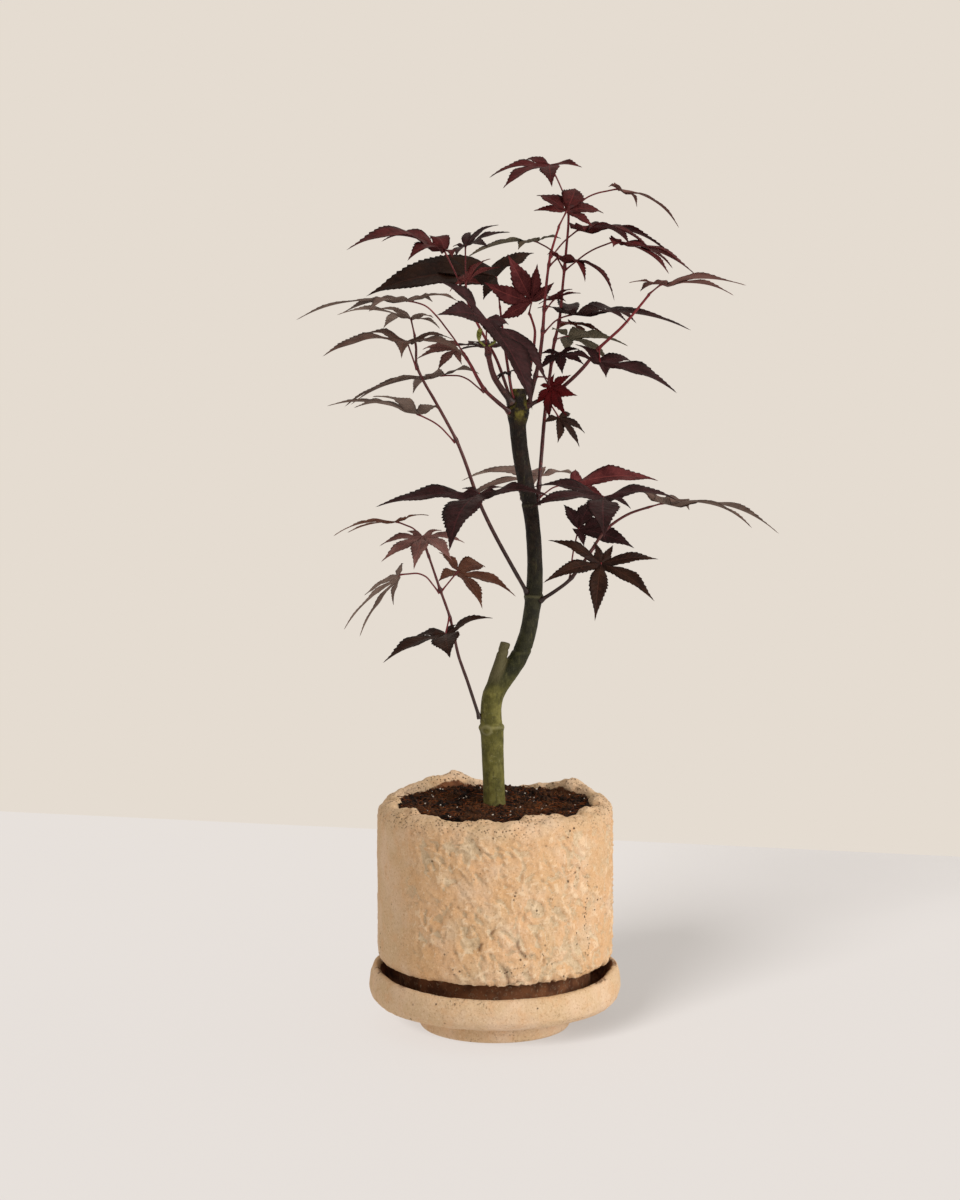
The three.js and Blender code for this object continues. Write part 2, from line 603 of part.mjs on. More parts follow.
const limbs = { trunk: trunkLimb };
for (const [name, shape] of Object.entries(SHOOTS)) {
  limbs[name] = shootLimb(shape);
  piece(`branch_${name}`, limbs[name].solid(6, 2), SHOOT);
}

for (const [carrier, leaves] of Object.entries(LEAVES)) {
  leaves.forEach(([stalk, base, tip, face, lobes, traits], i) => {
    const points = stalk.map(vector);
    const next = points[1] ?? vector(base);
    points[0] = limbs[carrier].outlet(points[0], next, STALK_RADIUS);
    const traitsOfAll = { ...PLAIN_LEAF, ...traits };
    const blade = leaf(points, vector(base), vector(tip), vector(face), lobes, traitsOfAll);
    piece(`leaf_${carrier}_${i + 1}`, blade, LEAF);
  });
}

export default group;
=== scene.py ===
"""A young red-leaved maple grown as a bonsai, in a rough clay pot on its saucer.

Metres, +Z up, the origin under the middle of the saucer. The tree is looked at from -Y.
Each grown piece is read from its CAD node (where the shoots run, where the leaves spread) and
made again with its natural detail; the clay is turned again from the CAD outline and pressed.
"""
import math

import bmesh
import bpy
import numpy as np
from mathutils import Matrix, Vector


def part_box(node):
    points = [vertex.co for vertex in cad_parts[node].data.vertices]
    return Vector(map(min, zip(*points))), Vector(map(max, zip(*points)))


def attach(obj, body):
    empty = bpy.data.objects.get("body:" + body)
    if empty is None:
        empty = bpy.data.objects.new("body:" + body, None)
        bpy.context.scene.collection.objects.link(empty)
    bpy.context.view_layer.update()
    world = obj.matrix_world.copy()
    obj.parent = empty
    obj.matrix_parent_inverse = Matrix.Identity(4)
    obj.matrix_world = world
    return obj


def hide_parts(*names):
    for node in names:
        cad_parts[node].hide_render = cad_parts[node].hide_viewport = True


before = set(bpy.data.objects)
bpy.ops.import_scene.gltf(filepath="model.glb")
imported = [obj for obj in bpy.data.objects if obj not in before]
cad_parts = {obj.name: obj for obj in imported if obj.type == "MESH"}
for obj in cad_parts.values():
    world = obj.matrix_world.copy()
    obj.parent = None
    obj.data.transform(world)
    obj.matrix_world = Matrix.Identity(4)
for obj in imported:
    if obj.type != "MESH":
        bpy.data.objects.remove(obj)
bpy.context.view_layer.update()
MM = 0.001


# ---------------------------------------------------------------------------- numbers and noise
def box_mm(node):
    """Lowest and highest corner of a CAD node, in millimetres."""
    low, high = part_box(node)
    return np.array(low) / MM, np.array(high) / MM


def ease(low, high, at):
    """0 below low, 1 above high and smooth between."""
    share = np.clip((at - low) / (high - low), 0.0, 1.0)
    return share * share * (3 - 2 * share)


def lumps(points, size, seed):
    """Smooth noise from -1 to 1 with lumps about `size` across. `size` may differ by axis."""
    spot = points / size + seed * 17.31
    cell = np.floor(spot).astype(np.int64)
    part = spot - cell
    part = part * part * (3 - 2 * part)

    def corner(x, y, z):
        key = (cell[:, 0] + x) * 73856093 ^ (cell[:, 1] + y) * 19349663
        key = key ^ (cell[:, 2] + z) * 83492791
        key = (key ^ (key >> 13)) * 1274126177
        key = key ^ (key >> 16)
        return (key & 0xFFFF) / 32767.5 - 1

    def along(low, high, axis):
        return low + (high - low) * part[:, axis]

    def level(z):
        front = along(corner(0, 0, z), corner(1, 0, z), 0)
        behind = along(corner(0, 1, z), corner(1, 1, z), 0)
        return along(front, behind, 1)

    return along(level(0), level(1), 2)


def grit(points, size, seed, layers=3):
    """Lumps with finer and finer lumps on them."""
    total = sum(lumps(points, size / 2**i, seed + i) / 1.7**i for i in range(layers))
    return total / sum(1 / 1.7**i for i in range(layers))


def flow(knots, values, at):
    """A smooth curve through the rows of values at the knots, without overshoot."""
    knots, values = np.asarray(knots, float), np.asarray(values, float)
    step = np.diff(knots)[:, None]
    slope = np.diff(values, axis=0) / step
    tangent = np.vstack([slope[:1], np.zeros_like(slope[1:]), slope[-1:]])
    same = slope[:-1] * slope[1:] > 0
    both = np.where(same, slope[:-1] + slope[1:], 1)
    tangent[1:-1] = np.where(same, 2 * slope[:-1] * slope[1:] / both, 0)
    i = np.clip(np.searchsorted(knots, at, side="right") - 1, 0, len(knots) - 2)
    t = ((at - knots[i]) / step[i, 0])[:, None]
    h = step[i]
    return (
        values[i] * (1 + 2 * t) * (1 - t) ** 2
        + tangent[i] * h * t * (1 - t) ** 2
        + values[i + 1] * t * t * (3 - 2 * t)
        + tangent[i + 1] * h * t * t * (t - 1)
    )


def unit(vector):
    return vector / max(np.linalg.norm(vector), 1e-12)


def squared(vector, axis):
    """The share of a vector that is square to an axis, at unit length."""
    return unit(vector - axis * (vector @ axis))


# ---------------------------------------------------------------------------- finishes
def tint(code):
    """A colour from its six-digit code, as linear light."""
    values = [int(code[i : i + 2], 16) / 255 for i in (0, 2, 4)]
    return tuple(v / 12.92 if v <= 0.04045 else ((v + 0.055) / 1.055) ** 2.4 for v in values) + (1.0,)


class Finish:
    """A material put together from nodes round one Principled shader."""

    def __init__(self, name, roughness, specular=0.4):
        self.material = bpy.data.materials.new(name)
        self.material.use_nodes = True
        self.tree = self.material.node_tree
        self.shader = self.tree.nodes["Principled BSDF"]
        self.shader.inputs["Roughness"].default_value = roughness
        self.shader.inputs["Specular IOR Level"].default_value = specular
        self.place = self.tree.nodes.new("ShaderNodeTexCoord").outputs["Object"]

    def feed(self, socket, value):
        if isinstance(value, bpy.types.NodeSocket):
            self.tree.links.new(value, socket)
        else:
            socket.default_value = value

    def stretched(self, scale):
        """Object coordinates scaled by axis."""
        mapping = self.tree.nodes.new("ShaderNodeMapping")
        self.feed(mapping.inputs["Vector"], self.place)
        mapping.inputs["Scale"].default_value = scale
        return mapping.outputs["Vector"]

    def noise(self, scale, detail=4.0, rough=0.55, place=None):
        node = self.tree.nodes.new("ShaderNodeTexNoise")
        self.feed(node.inputs["Vector"], place or self.place)
        node.inputs["Scale"].default_value = scale
        node.inputs["Detail"].default_value = detail
        node.inputs["Roughness"].default_value = rough
        return node.outputs["Fac"]

    def cells(self, scale):
        """How far a place is from the middle of its cell."""
        node = self.tree.nodes.new("ShaderNodeTexVoronoi")
        self.feed(node.inputs["Vector"], self.place)
        node.inputs["Scale"].default_value = scale
        return node.outputs["Distance"]

    def ramp(self, value, low, high, bottom=0.0, top=1.0):
        node = self.tree.nodes.new("ShaderNodeMapRange")
        node.interpolation_type = "SMOOTHSTEP"
        self.feed(node.inputs["Value"], value)
        limits = {"From Min": low, "From Max": high, "To Min": bottom, "To Max": top}
        for name, number in limits.items():
            node.inputs[name].default_value = number
        return node.outputs["Result"]

    def sums(self, kind, a, b=0.0):
        node = self.tree.nodes.new("ShaderNodeMath")
        node.operation = kind
        self.feed(node.inputs[0], a)
        self.feed(node.inputs[1], b)
        return node.outputs[0]

    def times(self, a, b):
        return self.sums("MULTIPLY", a, b)

    def uneven(self, value, scale, detail, rough, depth):
        """A value made uneven by noise, up to half the depth either way."""
        noise = self.noise(scale, detail, rough)
        return self.sums("ADD", value, self.times(self.sums("SUBTRACT", noise, 0.5), depth))

    def mix(self, share, a, b):
        node = self.tree.nodes.new("ShaderNodeMix")
        node.data_type = "RGBA"
        self.feed(node.inputs["Factor"], share)
        self.feed(node.inputs[6], a)
        self.feed(node.inputs[7], b)
        return node.outputs[2]

    def mark(self, name):
        """A number kept on the mesh."""
        node = self.tree.nodes.new("ShaderNodeAttribute")
        node.attribute_name = name
        return node.outputs["Fac"]

    def split(self, vector):
        node = self.tree.nodes.new("ShaderNodeSeparateXYZ")
        self.feed(node.inputs[0], vector)
        return node.outputs

    def map_uv(self):
        return self.tree.nodes.new("ShaderNodeTexCoord").outputs["UV"]

    def bump(self, height, depth, strength=1.0, after=None):
        node = self.tree.nodes.new("ShaderNodeBump")
        node.inputs["Distance"].default_value = depth
        node.inputs["Strength"].default_value = strength
        self.feed(node.inputs["Height"], height)
        if after is not None:
            self.tree.links.new(after, node.inputs["Normal"])
        return node.outputs["Normal"]

    def done(self, color, normal=None, roughness=None):
        self.feed(self.shader.inputs["Base Color"], color)
        if normal is not None:
            self.tree.links.new(normal, self.shader.inputs["Normal"])
        if roughness is not None:
            self.feed(self.shader.inputs["Roughness"], roughness)
        return self.material


def clay(name, pressed=False):
    """Unglazed sandy clay with dark pits, and soil brown where its marks say: real soil stains, and
    painted shade in the gap between pot and saucer. `pressed` clay has chalky hollows, crests with a
    painted highlight and dark cracks as well, where the piece's marks say so."""
    f = Finish(name, 0.9, 0.12)
    sand = f.mix(f.ramp(f.noise(45), 0.35, 0.68), tint("d5b792"), tint("e1c4a6"))
    color = f.mix(f.ramp(f.noise(110, 4, 0.6), 0.45, 0.72, top=0.6), sand, tint("d9ae84"))
    if pressed:
        worn = f.times(f.ramp(f.noise(60, 4, 0.6), 0.30, 0.62), f.mark("hammered"))
        color = f.mix(f.times(worn, 0.5), color, tint("dca872"))
        hollow = f.uneven(f.mark("hollow"), 300, 4, 0.55, 0.6)
        chalk = f.mix(f.ramp(f.noise(190, 3), 0.4, 0.62), tint("c0ae90"), tint("d8c8aa"))
        color = f.mix(f.ramp(hollow, 0.4, 0.9, top=0.6), color, chalk)
        crest = f.uneven(f.mark("crest"), 450, 3, 0.55, 0.7)
        # painted highlight: a near-white colour laid on the crests of the wrinkles
        color = f.mix(f.ramp(crest, 0.46, 0.84, top=0.42), color, tint("f8e0bf"))
        color = f.mix(f.times(f.mark("crack"), 0.8), color, tint("5f3c24"))
    grain = f.noise(850, 4, 0.75)
    color = f.mix(f.ramp(grain, 0.54, 0.70, top=0.55), color, tint("f0dabd"))
    color = f.mix(f.ramp(grain, 0.32, 0.46, 0.6, 0.0), color, tint("a47c58"))
    strewn = f.ramp(f.noise(70, 2), 0.56, 0.70)
    pit = f.times(f.ramp(f.cells(300), 0.12, 0.24, 1.0, 0.0), strewn)
    close = f.times(f.ramp(f.cells(620), 0.16, 0.34, 1.0, 0.0), f.mark("pitted"))
    pit = f.sums("MAXIMUM", pit, close)
    color = f.mix(f.times(pit, 0.85), color, tint("4d3020"))
    # soil brown over real soil stains, and as painted shade over the pot's foot and the saucer's floor
    # in the gap between them
    stain_and_shade = f.uneven(f.mark("soiled"), 420, 5, 0.7, 1.2)
    dirt_and_shade = f.mix(f.ramp(f.noise(120, 3), 0.35, 0.65), tint("55301e"), tint("7d4f33"))
    color = f.mix(f.ramp(stain_and_shade, 0.42, 0.75, top=0.97), color, dirt_and_shade)
    relief = f.sums("ADD", f.times(f.noise(700, 4, 0.65), 0.7), f.times(pit, -1.2))
    clean = f.ramp(stain_and_shade, 0.42, 0.75, 1.0, 0.1)
    normal = f.bump(f.times(relief, clean), 0.0008, 0.9)
    return f.done(color, f.bump(f.times(grain, clean), 0.0005, 0.9, normal))


def soil_finish(name, dark, light, fleck):
    """Crumbly earth, damp and dark in places and dry and flecked in others."""
    f = Finish(name, 0.95, 0.2)
    dry = f.uneven(f.noise(420), 45, 3, 0.55, 1.1)
    color = f.mix(f.ramp(dry, 0.36, 0.74), tint(dark), tint(light))
    color = f.mix(f.ramp(f.noise(900, 3), 0.6, 0.75, top=0.7), color, tint(fleck))
    return f.done(color, f.bump(f.noise(1400, 4, 0.7), 0.0006, 1.0))


def perlite():
    f = Finish("perlite", 0.8, 0.3)
    color = f.mix(f.noise(900, 3), tint("e9e2d8"), tint("bfae9c"))
    return f.done(color, f.bump(f.noise(1800, 3), 0.0003, 1.0))


def bark():
    """Olive green at the foot, darker up the bends and nearly black at the top."""
    f = Finish("bark", 0.65, 0.2)
    height = f.uneven(f.split(f.place)[2], 60, 3, 0.55, 0.035)
    low = f.mix(f.ramp(f.noise(140, 4, 0.6), 0.38, 0.66), tint("545123"), tint("757039"))
    low = f.mix(f.ramp(f.noise(420, 4, 0.65), 0.52, 0.66, top=0.4), low, tint("2c2610"))
    low = f.mix(f.ramp(height, 0.112, 0.134, 0.5, 0.0), low, tint("766e4a"))
    green = f.mix(f.ramp(f.noise(170, 4, 0.6), 0.40, 0.68), tint("232410"), tint("3d3d1e"))
    dark = f.mix(f.ramp(f.noise(240, 4, 0.6), 0.40, 0.70), tint("160e0a"), tint("2a1c14"))
    middle = f.mix(f.ramp(f.noise(200), 0.40, 0.66), tint("26251a"), tint("3c3a28"))
    color = f.mix(f.ramp(height, 0.190, 0.208), low, green)
    color = f.mix(f.ramp(height, 0.208, 0.236), color, middle)
    color = f.mix(f.ramp(height, 0.246, 0.290), color, dark)
    streaks = f.noise(1.0, 4, 0.6, place=f.stretched((700, 700, 90)))
    color = f.mix(f.ramp(streaks, 0.58, 0.78, top=0.25), color, tint("807a4c"))
    color = f.mix(f.ramp(streaks, 0.28, 0.45, 0.5, 0.0), color, tint("1d1a10"))
    crust = f.times(f.ramp(f.noise(520, 4, 0.7), 0.56, 0.70), f.ramp(height, 0.17, 0.21, 1.0, 0.2))
    color = f.mix(f.times(crust, 0.4), color, tint("9a976c"))
    color = f.mix(f.times(f.mark("stub"), 0.6), color, tint("6c6446"))
    color = f.mix(f.mark("scar"), color, tint("8f8a63"))
    color = f.mix(f.mark("moss"), color, f.mix(f.noise(700, 3), tint("4c4415"), tint("9a8f3a")))
    normal = f.bump(streaks, 0.0005, 0.7)
    normal = f.bump(f.noise(1500, 3, 0.6), 0.0003, 0.7, normal)
    return f.done(color, normal, f.ramp(f.noise(300, 3), 0.3, 0.7, 0.5, 0.72))


def shoot(name, foot, end, fleck):
    """Thin smooth bark that reddens from the foot of the shoot to its end. Without the marks along
    it and at its rings it keeps the colour of the foot, as a leaf stalk does."""
    f = Finish(name, 0.42, 0.45)
    color = f.mix(f.ramp(f.mark("along"), 0.0, 0.9), tint(foot), tint(end))
    color = f.mix(f.ramp(f.noise(500, 3), 0.50, 0.72, top=0.5), color, tint(fleck))
    color = f.mix(f.mark("ring"), color, tint("2a1512"))
    return f.done(color, f.bump(f.noise(1.0, 3, place=f.stretched((1500, 1500, 500))), 0.0003, 0.5))


def blade(name, deep, plain, vein, roughness=0.58, specular=0.13):
    """One face of a leaf. The lobe's own map runs from edge to edge and from hub to tip."""
    f = Finish(name, roughness, specular)
    across, along, _ = f.split(f.map_uv())
    side = f.sums("ABSOLUTE", f.times(f.sums("SUBTRACT", across, 0.5), 2.0))
    color = f.mix(f.ramp(f.noise(90, 4, 0.6), 0.34, 0.68), tint(deep), tint(plain))
    color = f.mix(f.ramp(f.noise(420, 3, 0.6), 0.45, 0.75, top=0.35), color, tint(vein))
    color = f.mix(f.ramp(side, 0.6, 1.0, top=0.35), color, tint(deep))
    slant = f.sums("SUBTRACT", f.times(along, 13.0), f.times(side, 1.5))
    wave = f.sums("ABSOLUTE", f.sums("SUBTRACT", f.sums("FRACT", slant), 0.5))
    fades = f.ramp(side, 0.75, 1.0, 1.0, 0.2)
    side_veins = f.times(f.ramp(wave, 0.0, 0.09, 1.0, 0.0), fades)
    color = f.mix(f.times(side_veins, 0.16), color, tint(vein))
    color = f.mix(f.ramp(side, 0.02, 0.08, 0.55, 0.0), color, tint(vein))
    normal = f.bump(f.times(f.ramp(wave, 0.0, 0.5), fades), 0.0004, 0.25)
    normal = f.bump(f.noise(500, 2, 0.5), 0.0002, 0.2, normal)
    uneven = f.ramp(f.noise(160, 3), 0.3, 0.7, roughness - 0.08, roughness + 0.1)
    return f.done(color, normal, uneven)


def bud_scale():
    """A fresh bud scale, yellow-green and browner in places."""
    f = Finish("bud scale", 0.55, 0.3)
    color = f.mix(f.ramp(f.noise(500, 3), 0.4, 0.65), tint("7f8238"), tint("b3b45e"))
    color = f.mix(f.ramp(f.noise(300, 3), 0.58, 0.72, top=0.7), color, tint("5b3d22"))
    return f.done(color, f.bump(f.noise(1200, 3), 0.0002, 0.8))


# ---------------------------------------------------------------------------- making meshes
def piece(name, points_mm, faces, materials, choice=None):
    """A smooth-shaded mesh object from points in millimetres. `choice` is each face's material."""
    mesh = bpy.data.meshes.new(name)
    faces = [tuple(int(i) for i in face) for face in faces]
    mesh.from_pydata((np.asarray(points_mm) * MM).tolist(), [], faces)
    for material in materials:
        mesh.materials.append(material)
    if choice is not None:
        mesh.polygons.foreach_set("material_index", np.asarray(choice, dtype=np.int32))
    smooth(mesh)
    mesh.update()
    made = bpy.data.objects.new(name, mesh)
    bpy.context.scene.collection.objects.link(made)
    return made


def smooth(mesh):
    mesh.polygons.foreach_set("use_smooth", np.ones(len(mesh.polygons), dtype=bool))


def coat(made, material):
    """Gives the whole object one material and smooth shading."""
    made.data.materials.clear()
    made.data.materials.append(material)
    smooth(made.data)


def keep_marks(made, **marks):
    """Keeps numbers for each vertex under their names, which a finish can read."""
    for name, values in marks.items():
        layer = made.data.attributes.new(name, "FLOAT", "POINT")
        layer.data.foreach_set("value", np.asarray(values, np.float32))


def points_of(mesh):
    flat = np.zeros(len(mesh.vertices) * 3)
    mesh.vertices.foreach_get("co", flat)
    return flat.reshape(-1, 3)


def set_points(mesh, points):
    mesh.vertices.foreach_set("co", np.asarray(points, np.float32).ravel())
    mesh.update()


def normals_of(mesh):
    flat = np.zeros(len(mesh.vertices) * 3)
    mesh.vertices.foreach_get("normal", flat)
    return flat.reshape(-1, 3)


def merged(node):
    """A CAD node's copy whose loose triangles are joined."""
    joined = bmesh.new()
    joined.from_mesh(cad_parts[node].data)
    bmesh.ops.remove_doubles(joined, verts=joined.verts, dist=0.01 * MM)
    joined.verts.ensure_lookup_table()
    return joined


def settled(made):
    """The object with its modifiers worked into a plain mesh."""
    graph = bpy.context.evaluated_depsgraph_get()
    mesh = bpy.data.meshes.new_from_object(made.evaluated_get(graph), depsgraph=graph)
    made.modifiers.clear()
    made.data = mesh
    return made


def grid_faces(rows, columns, wrap=True, first=0):
    """Quads over a grid of points, row by row, the first of which has the number `first`."""
    faces = []
    for row in range(rows - 1):
        near, far = first + row * columns, first + (row + 1) * columns
        for column in range(columns if wrap else columns - 1):
            following = (column + 1) % columns
            faces.append((near + column, near + following, far + following, far + column))
    return faces


def tube(centres, radii, sides, first=0):
    """A closed tube with flat ends along a path: its points, and faces counted from `first`."""
    centres = np.asarray(centres, float)
    tangents = np.gradient(centres, axis=0)
    side = squared(np.array([1.0, 0.13, 0.07]), unit(tangents[0]))
    points = []
    turn = np.linspace(0, 2 * math.pi, sides, endpoint=False)
    for centre, tangent, radius in zip(centres, tangents, radii):
        tangent = unit(tangent)
        side = squared(side, tangent)
        up = np.cross(tangent, side)
        points.append(centre + radius * (np.cos(turn)[:, None] * side + np.sin(turn)[:, None] * up))
    rows = len(points)
    points = np.vstack(points + [centres[:1], centres[-1:]])
    faces = grid_faces(rows, sides, first=first)
    start, end = first + rows * sides, first + rows * sides + 1
    last = first + (rows - 1) * sides
    for i in range(sides):
        following = (i + 1) % sides
        faces.append((start, first + following, first + i))
        faces.append((end, last + i, last + following))
    return points, faces


def along_path(stations, spacing):
    """A smooth path through stations of any width (place, then anything carried with it)."""
    stations = np.asarray(stations, float)
    steps = np.linalg.norm(np.diff(stations[:, :3], axis=0), axis=1)
    knots = np.concatenate([[0], np.cumsum(steps)])
    count = max(4, int(knots[-1] / spacing))
    at = np.linspace(0, knots[-1], count + 1)
    padded = np.vstack([2 * stations[0] - stations[1], stations, 2 * stations[-1] - stations[-2]])
    i = np.clip(np.searchsorted(knots, at, side="right") - 1, 0, len(stations) - 2)
    t = ((at - knots[i]) / np.diff(knots)[i])[:, None]
    a, b, c, d = padded[i], padded[i + 1], padded[i + 2], padded[i + 3]
    bend, twist = 2 * a - 5 * b + 4 * c - d, 3 * b - a - 3 * c + d
    return 0.5 * (2 * b + (c - a) * t + bend * t**2 + twist * t**3), at


# ---------------------------------------------------------------------------- the clay
POT_COLUMNS, POT_ROW, HIDDEN_ROW = 450, 0.86, 5.0  # the rows' distances in mm
SAUCER_COLUMNS, SAUCER_ROW = 420, 1.0
FLANK_TURN = -176  # the middle of the pot's smoother flank, in degrees
SEAM_TURN = -42  # where a line of pits runs down the pot
# Cracks at the foot of the pot: degrees round it, lowest and highest mm, and sway in degrees.
CRACKS = ((-97, 40, 74, 3.0), (-86, 38, 62, -2.0), (-79, 40, 68, 3.5), (-70, 50, 60, -3.0))


def cad_outline(node):
    """The turned node's outline, one for each facet edge: degrees, then radius and height in mm.

    The outline is walked from the lowest point of the drain or of the foot's middle outwards."""
    joined = merged(node)
    columns = {}
    for vertex in joined.verts:
        x, y, z = (c / MM for c in vertex.co)
        radius = math.hypot(x, y)
        if radius > 0.01:
            columns.setdefault(round(math.degrees(math.atan2(y, x)), 1) % 360, []).append(vertex)
    outlines = {}
    for degrees, column in columns.items():
        inside = set(column)
        ends = [v for v in column if sum(e.other_vert(v) in inside for e in v.link_edges) == 1]
        lowest = min(ends or column, key=lambda v: (v.co.z, v.co.xy.length))
        walk, here = [lowest], lowest
        while True:
            near = [e.other_vert(here) for e in here.link_edges]
            near = [v for v in near if v in inside and v not in walk]
            if not near:
                break
            here = min(near, key=lambda v: v.co.z) if len(walk) == 1 else near[0]
            walk.append(here)
        outlines[degrees] = [(v.co.xy.length / MM, v.co.z / MM) for v in walk]
    joined.free()
    degrees = sorted(outlines)
    return np.array(degrees), np.array([outlines[d] for d in degrees])


def turned_again(node, columns, spacing):
    """The node's surface as a fine grid of points, by row and column.

    `spacing` gives the distance between rows for each stretch of the outline."""
    degrees, outlines = cad_outline(node)
    stretches = []
    for i in range(outlines.shape[1] - 1):
        length = np.linalg.norm(outlines[:, i + 1] - outlines[:, i], axis=1).max()
        count = max(1, int(math.ceil(length / spacing(outlines[0, i], outlines[0, i + 1]))))
        stretches.extend(i + np.arange(count) / count)
    stretches = np.array(stretches + [outlines.shape[1] - 1.0])
    i = np.clip(stretches.astype(int), 0, outlines.shape[1] - 2)
    share = (stretches - i)[None, :, None]
    rows = outlines[:, i] * (1 - share) + outlines[:, i + 1] * share
    turn = np.linspace(0, 360, columns, endpoint=False)
    wrapped = np.concatenate([degrees - 360, degrees, degrees + 360])
    every = np.concatenate([rows, rows, rows])
    fine = np.empty((columns, rows.shape[1], 2))
    for row in range(rows.shape[1]):
        fine[:, row] = flow(wrapped, every[:, row], turn)
    angle = np.radians(turn)[:, None]
    points = np.stack([fine[..., 0] * np.cos(angle), fine[..., 0] * np.sin(angle), fine[..., 1]], -1)
    return points.transpose(1, 0, 2)


def rounded(grid, times):
    """Softens the corners of the outline between rows, with the end rows left where they are."""
    for _ in range(times):
        middle = 0.5 * grid[1:-1] + 0.25 * (grid[:-2] + grid[2:])
        grid = np.concatenate([grid[:1], middle, grid[-1:]])
    return grid


def skin_normals(points, faces):
    """Normals at the points of a mesh, as it lies."""
    probe = bpy.data.meshes.new("probe")
    probe.from_pydata(points.tolist(), [], faces)
    normals = normals_of(probe)
    bpy.data.meshes.remove(probe)
    return normals


def pot_grid(low, high):
    """The pot's surface, with rows close together where they show and few where soil hides them."""
    wall = high[0]

    def spacing(a, b):
        outside = min(a[0], b[0]) > wall - 14 and max(a[1], b[1]) > low[2] + 13
        inner_lip = max(a[1], b[1]) > high[2] - 16
        return POT_ROW if outside or inner_lip else HIDDEN_ROW

    grid = turned_again("pot", POT_COLUMNS, spacing)
    level = grid[..., 2].mean(axis=1)
    reach = np.linalg.norm(grid[..., :2], axis=2).mean(axis=1)
    buried = (reach < wall - 8) & (level < high[2] - 22) & (level > low[2] + 20)
    grid = grid[~buried | (np.arange(len(grid)) % 6 == 0)]
    return rounded(grid[:-1] if np.allclose(grid[0], grid[-1], atol=0.3) else grid, 2)


def wrinkles(points, turn, wall, hammered):
    """The hammered face: its hollows, its crests for the painted highlight, and how far it stands out
    in mm.

    The wrinkles lean, as the noise is turned further the higher it lies."""
    z = points[:, 2]
    turned_by = np.radians(turn) + 0.35 * z / wall
    skewed = np.stack([wall * np.cos(turned_by), wall * np.sin(turned_by), z * 0.8], 1)
    swirl = np.stack([lumps(skewed, 7, seed) for seed in (3, 5, 7)], 1)
    warped = skewed + swirl * 2.6
    hills = lumps(warped, 3.0, 11) + 0.45 * lumps(warped, 1.6, 12)
    patches = ease(-0.75, 0.15, grit(points, 20, 21, 2))
    hollow = (1 - ease(-0.45, -0.05, hills)) * hammered * (0.25 + 0.75 * patches)
    ridge = (1 - np.abs(lumps(warped, 3.6, 15))) ** 6 * hammered * (0.35 + 0.65 * patches)
    # the crests are only coloured, as a painted highlight; the shape comes from the ridges
    crest = np.clip(ridge + 0.5 * ease(0.35, 0.8, hills) * hammered, 0, 1)
    return hollow, crest, ridge - 0.95 * hollow + 0.3 * hammered * lumps(warped, 8, 31)


def cracks(points, turn, wall):
    """How deep each point lies in one of the thin cracks, from 0 to 1."""
    z = points[:, 2]
    deepest = np.zeros(len(z))
    for degrees, foot, head, sway in CRACKS:
        middle = degrees + sway * np.sin(z / 4.3 + degrees) + (z - foot) * 0.12
        off = np.abs(turn - middle) * math.radians(wall)
        span = ease(foot - 2, foot + 3, z) * (1 - ease(head - 6, head, z))
        span *= ease(-0.3, 0.2, lumps(points, 5, 61))
        deepest = np.maximum(deepest, np.exp(-((off / 0.975) ** 2)) * span)
    return deepest


def pressed_pot():
    """The pot: a smoother left flank, slanting wrinkles round the rest, and a pinched wavy rim."""
    low, high = box_mm("pot")
    wall = high[0]
    grid = pot_grid(low, high)
    rows, columns = grid.shape[:2]
    faces = grid_faces(rows, columns)
    last = (rows - 1) * columns
    for i in range(columns):
        following = (i + 1) % columns
        faces.append((last + i, last + following, following, i))
    points = grid.reshape(-1, 3)
    normals = skin_normals(points, faces)
    x, y, z = points.T
    radius = np.hypot(x, y)
    turn = np.degrees(np.arctan2(y, x))
    outside = ease(wall - 9, wall - 5, radius) * ease(low[2] + 13, low[2] + 17, z)
    from_top = grid[..., 2].max(axis=0)[None, :].repeat(rows, 0).ravel() - z
    lip = 1 - ease(2, 13, from_top)
    flank = 1 - ease(22, 54, np.abs((turn - FLANK_TURN + 180) % 360 - 180))
    hammered = (1 - 0.9 * flank) * (1 - 0.8 * lip) * outside
    hollow, crest, shift = wrinkles(points, turn, wall, hammered)

    fine = grit(points, 2.4, 43, 2)
    shift += outside * (0.5 * grit(points, 24, 41) + (0.26 + 0.12 * hammered) * fine - 0.1)
    inner = (1 - outside) * (1 - ease(6, 16, from_top)) * ease(low[2] + 40, low[2] + 50, z)
    shift += inner * (2.6 * lumps(points, 8, 51) + 0.9 * grit(points, 3.4, 53))
    shift += lip * (1.3 * grit(points, 8, 55, 2) + 0.7 * grit(points, 3.0, 57, 2))
    crack = cracks(points, turn, wall) * outside
    shift -= 0.5 * crack
    finish = clay("pot clay", pressed=True)
    made = piece("pressed_pot", points + normals * shift[:, None], faces, [finish])

    seam = np.exp(-(((turn - SEAM_TURN + 1.2 * np.sin(z / 5)) / 1.5) ** 2))
    seam *= (1 - ease(92, 100, z)) * outside
    foot_dots = np.exp(-(((z - 47) / 2.5) ** 2) - ((turn + 83) / 7) ** 2) * outside
    lip_pits = lip * ease(-0.5, 0.3, grit(points, 9, 63))
    splash = inner * 0.8 * ease(3.0, 6.5, from_top)
    splash += 0.36 * lip * ease(-0.3, 0.5, grit(points, 12, 61))
    # painted shade: the pot's foot, which lies in the shaded gap above the saucer, is coloured soil
    # brown
    under = 1 - ease(low[2] + 13.5, low[2] + 16.5, z)
    under *= 0.95 * ease(wall - 30, wall - 6, radius)
    keep_marks(
        made, hollow=hollow, crest=crest, hammered=hammered, crack=crack,
        pitted=np.clip(seam + foot_dots + lip_pits, 0, 1), soiled=np.maximum(splash, under),
    )
    return made


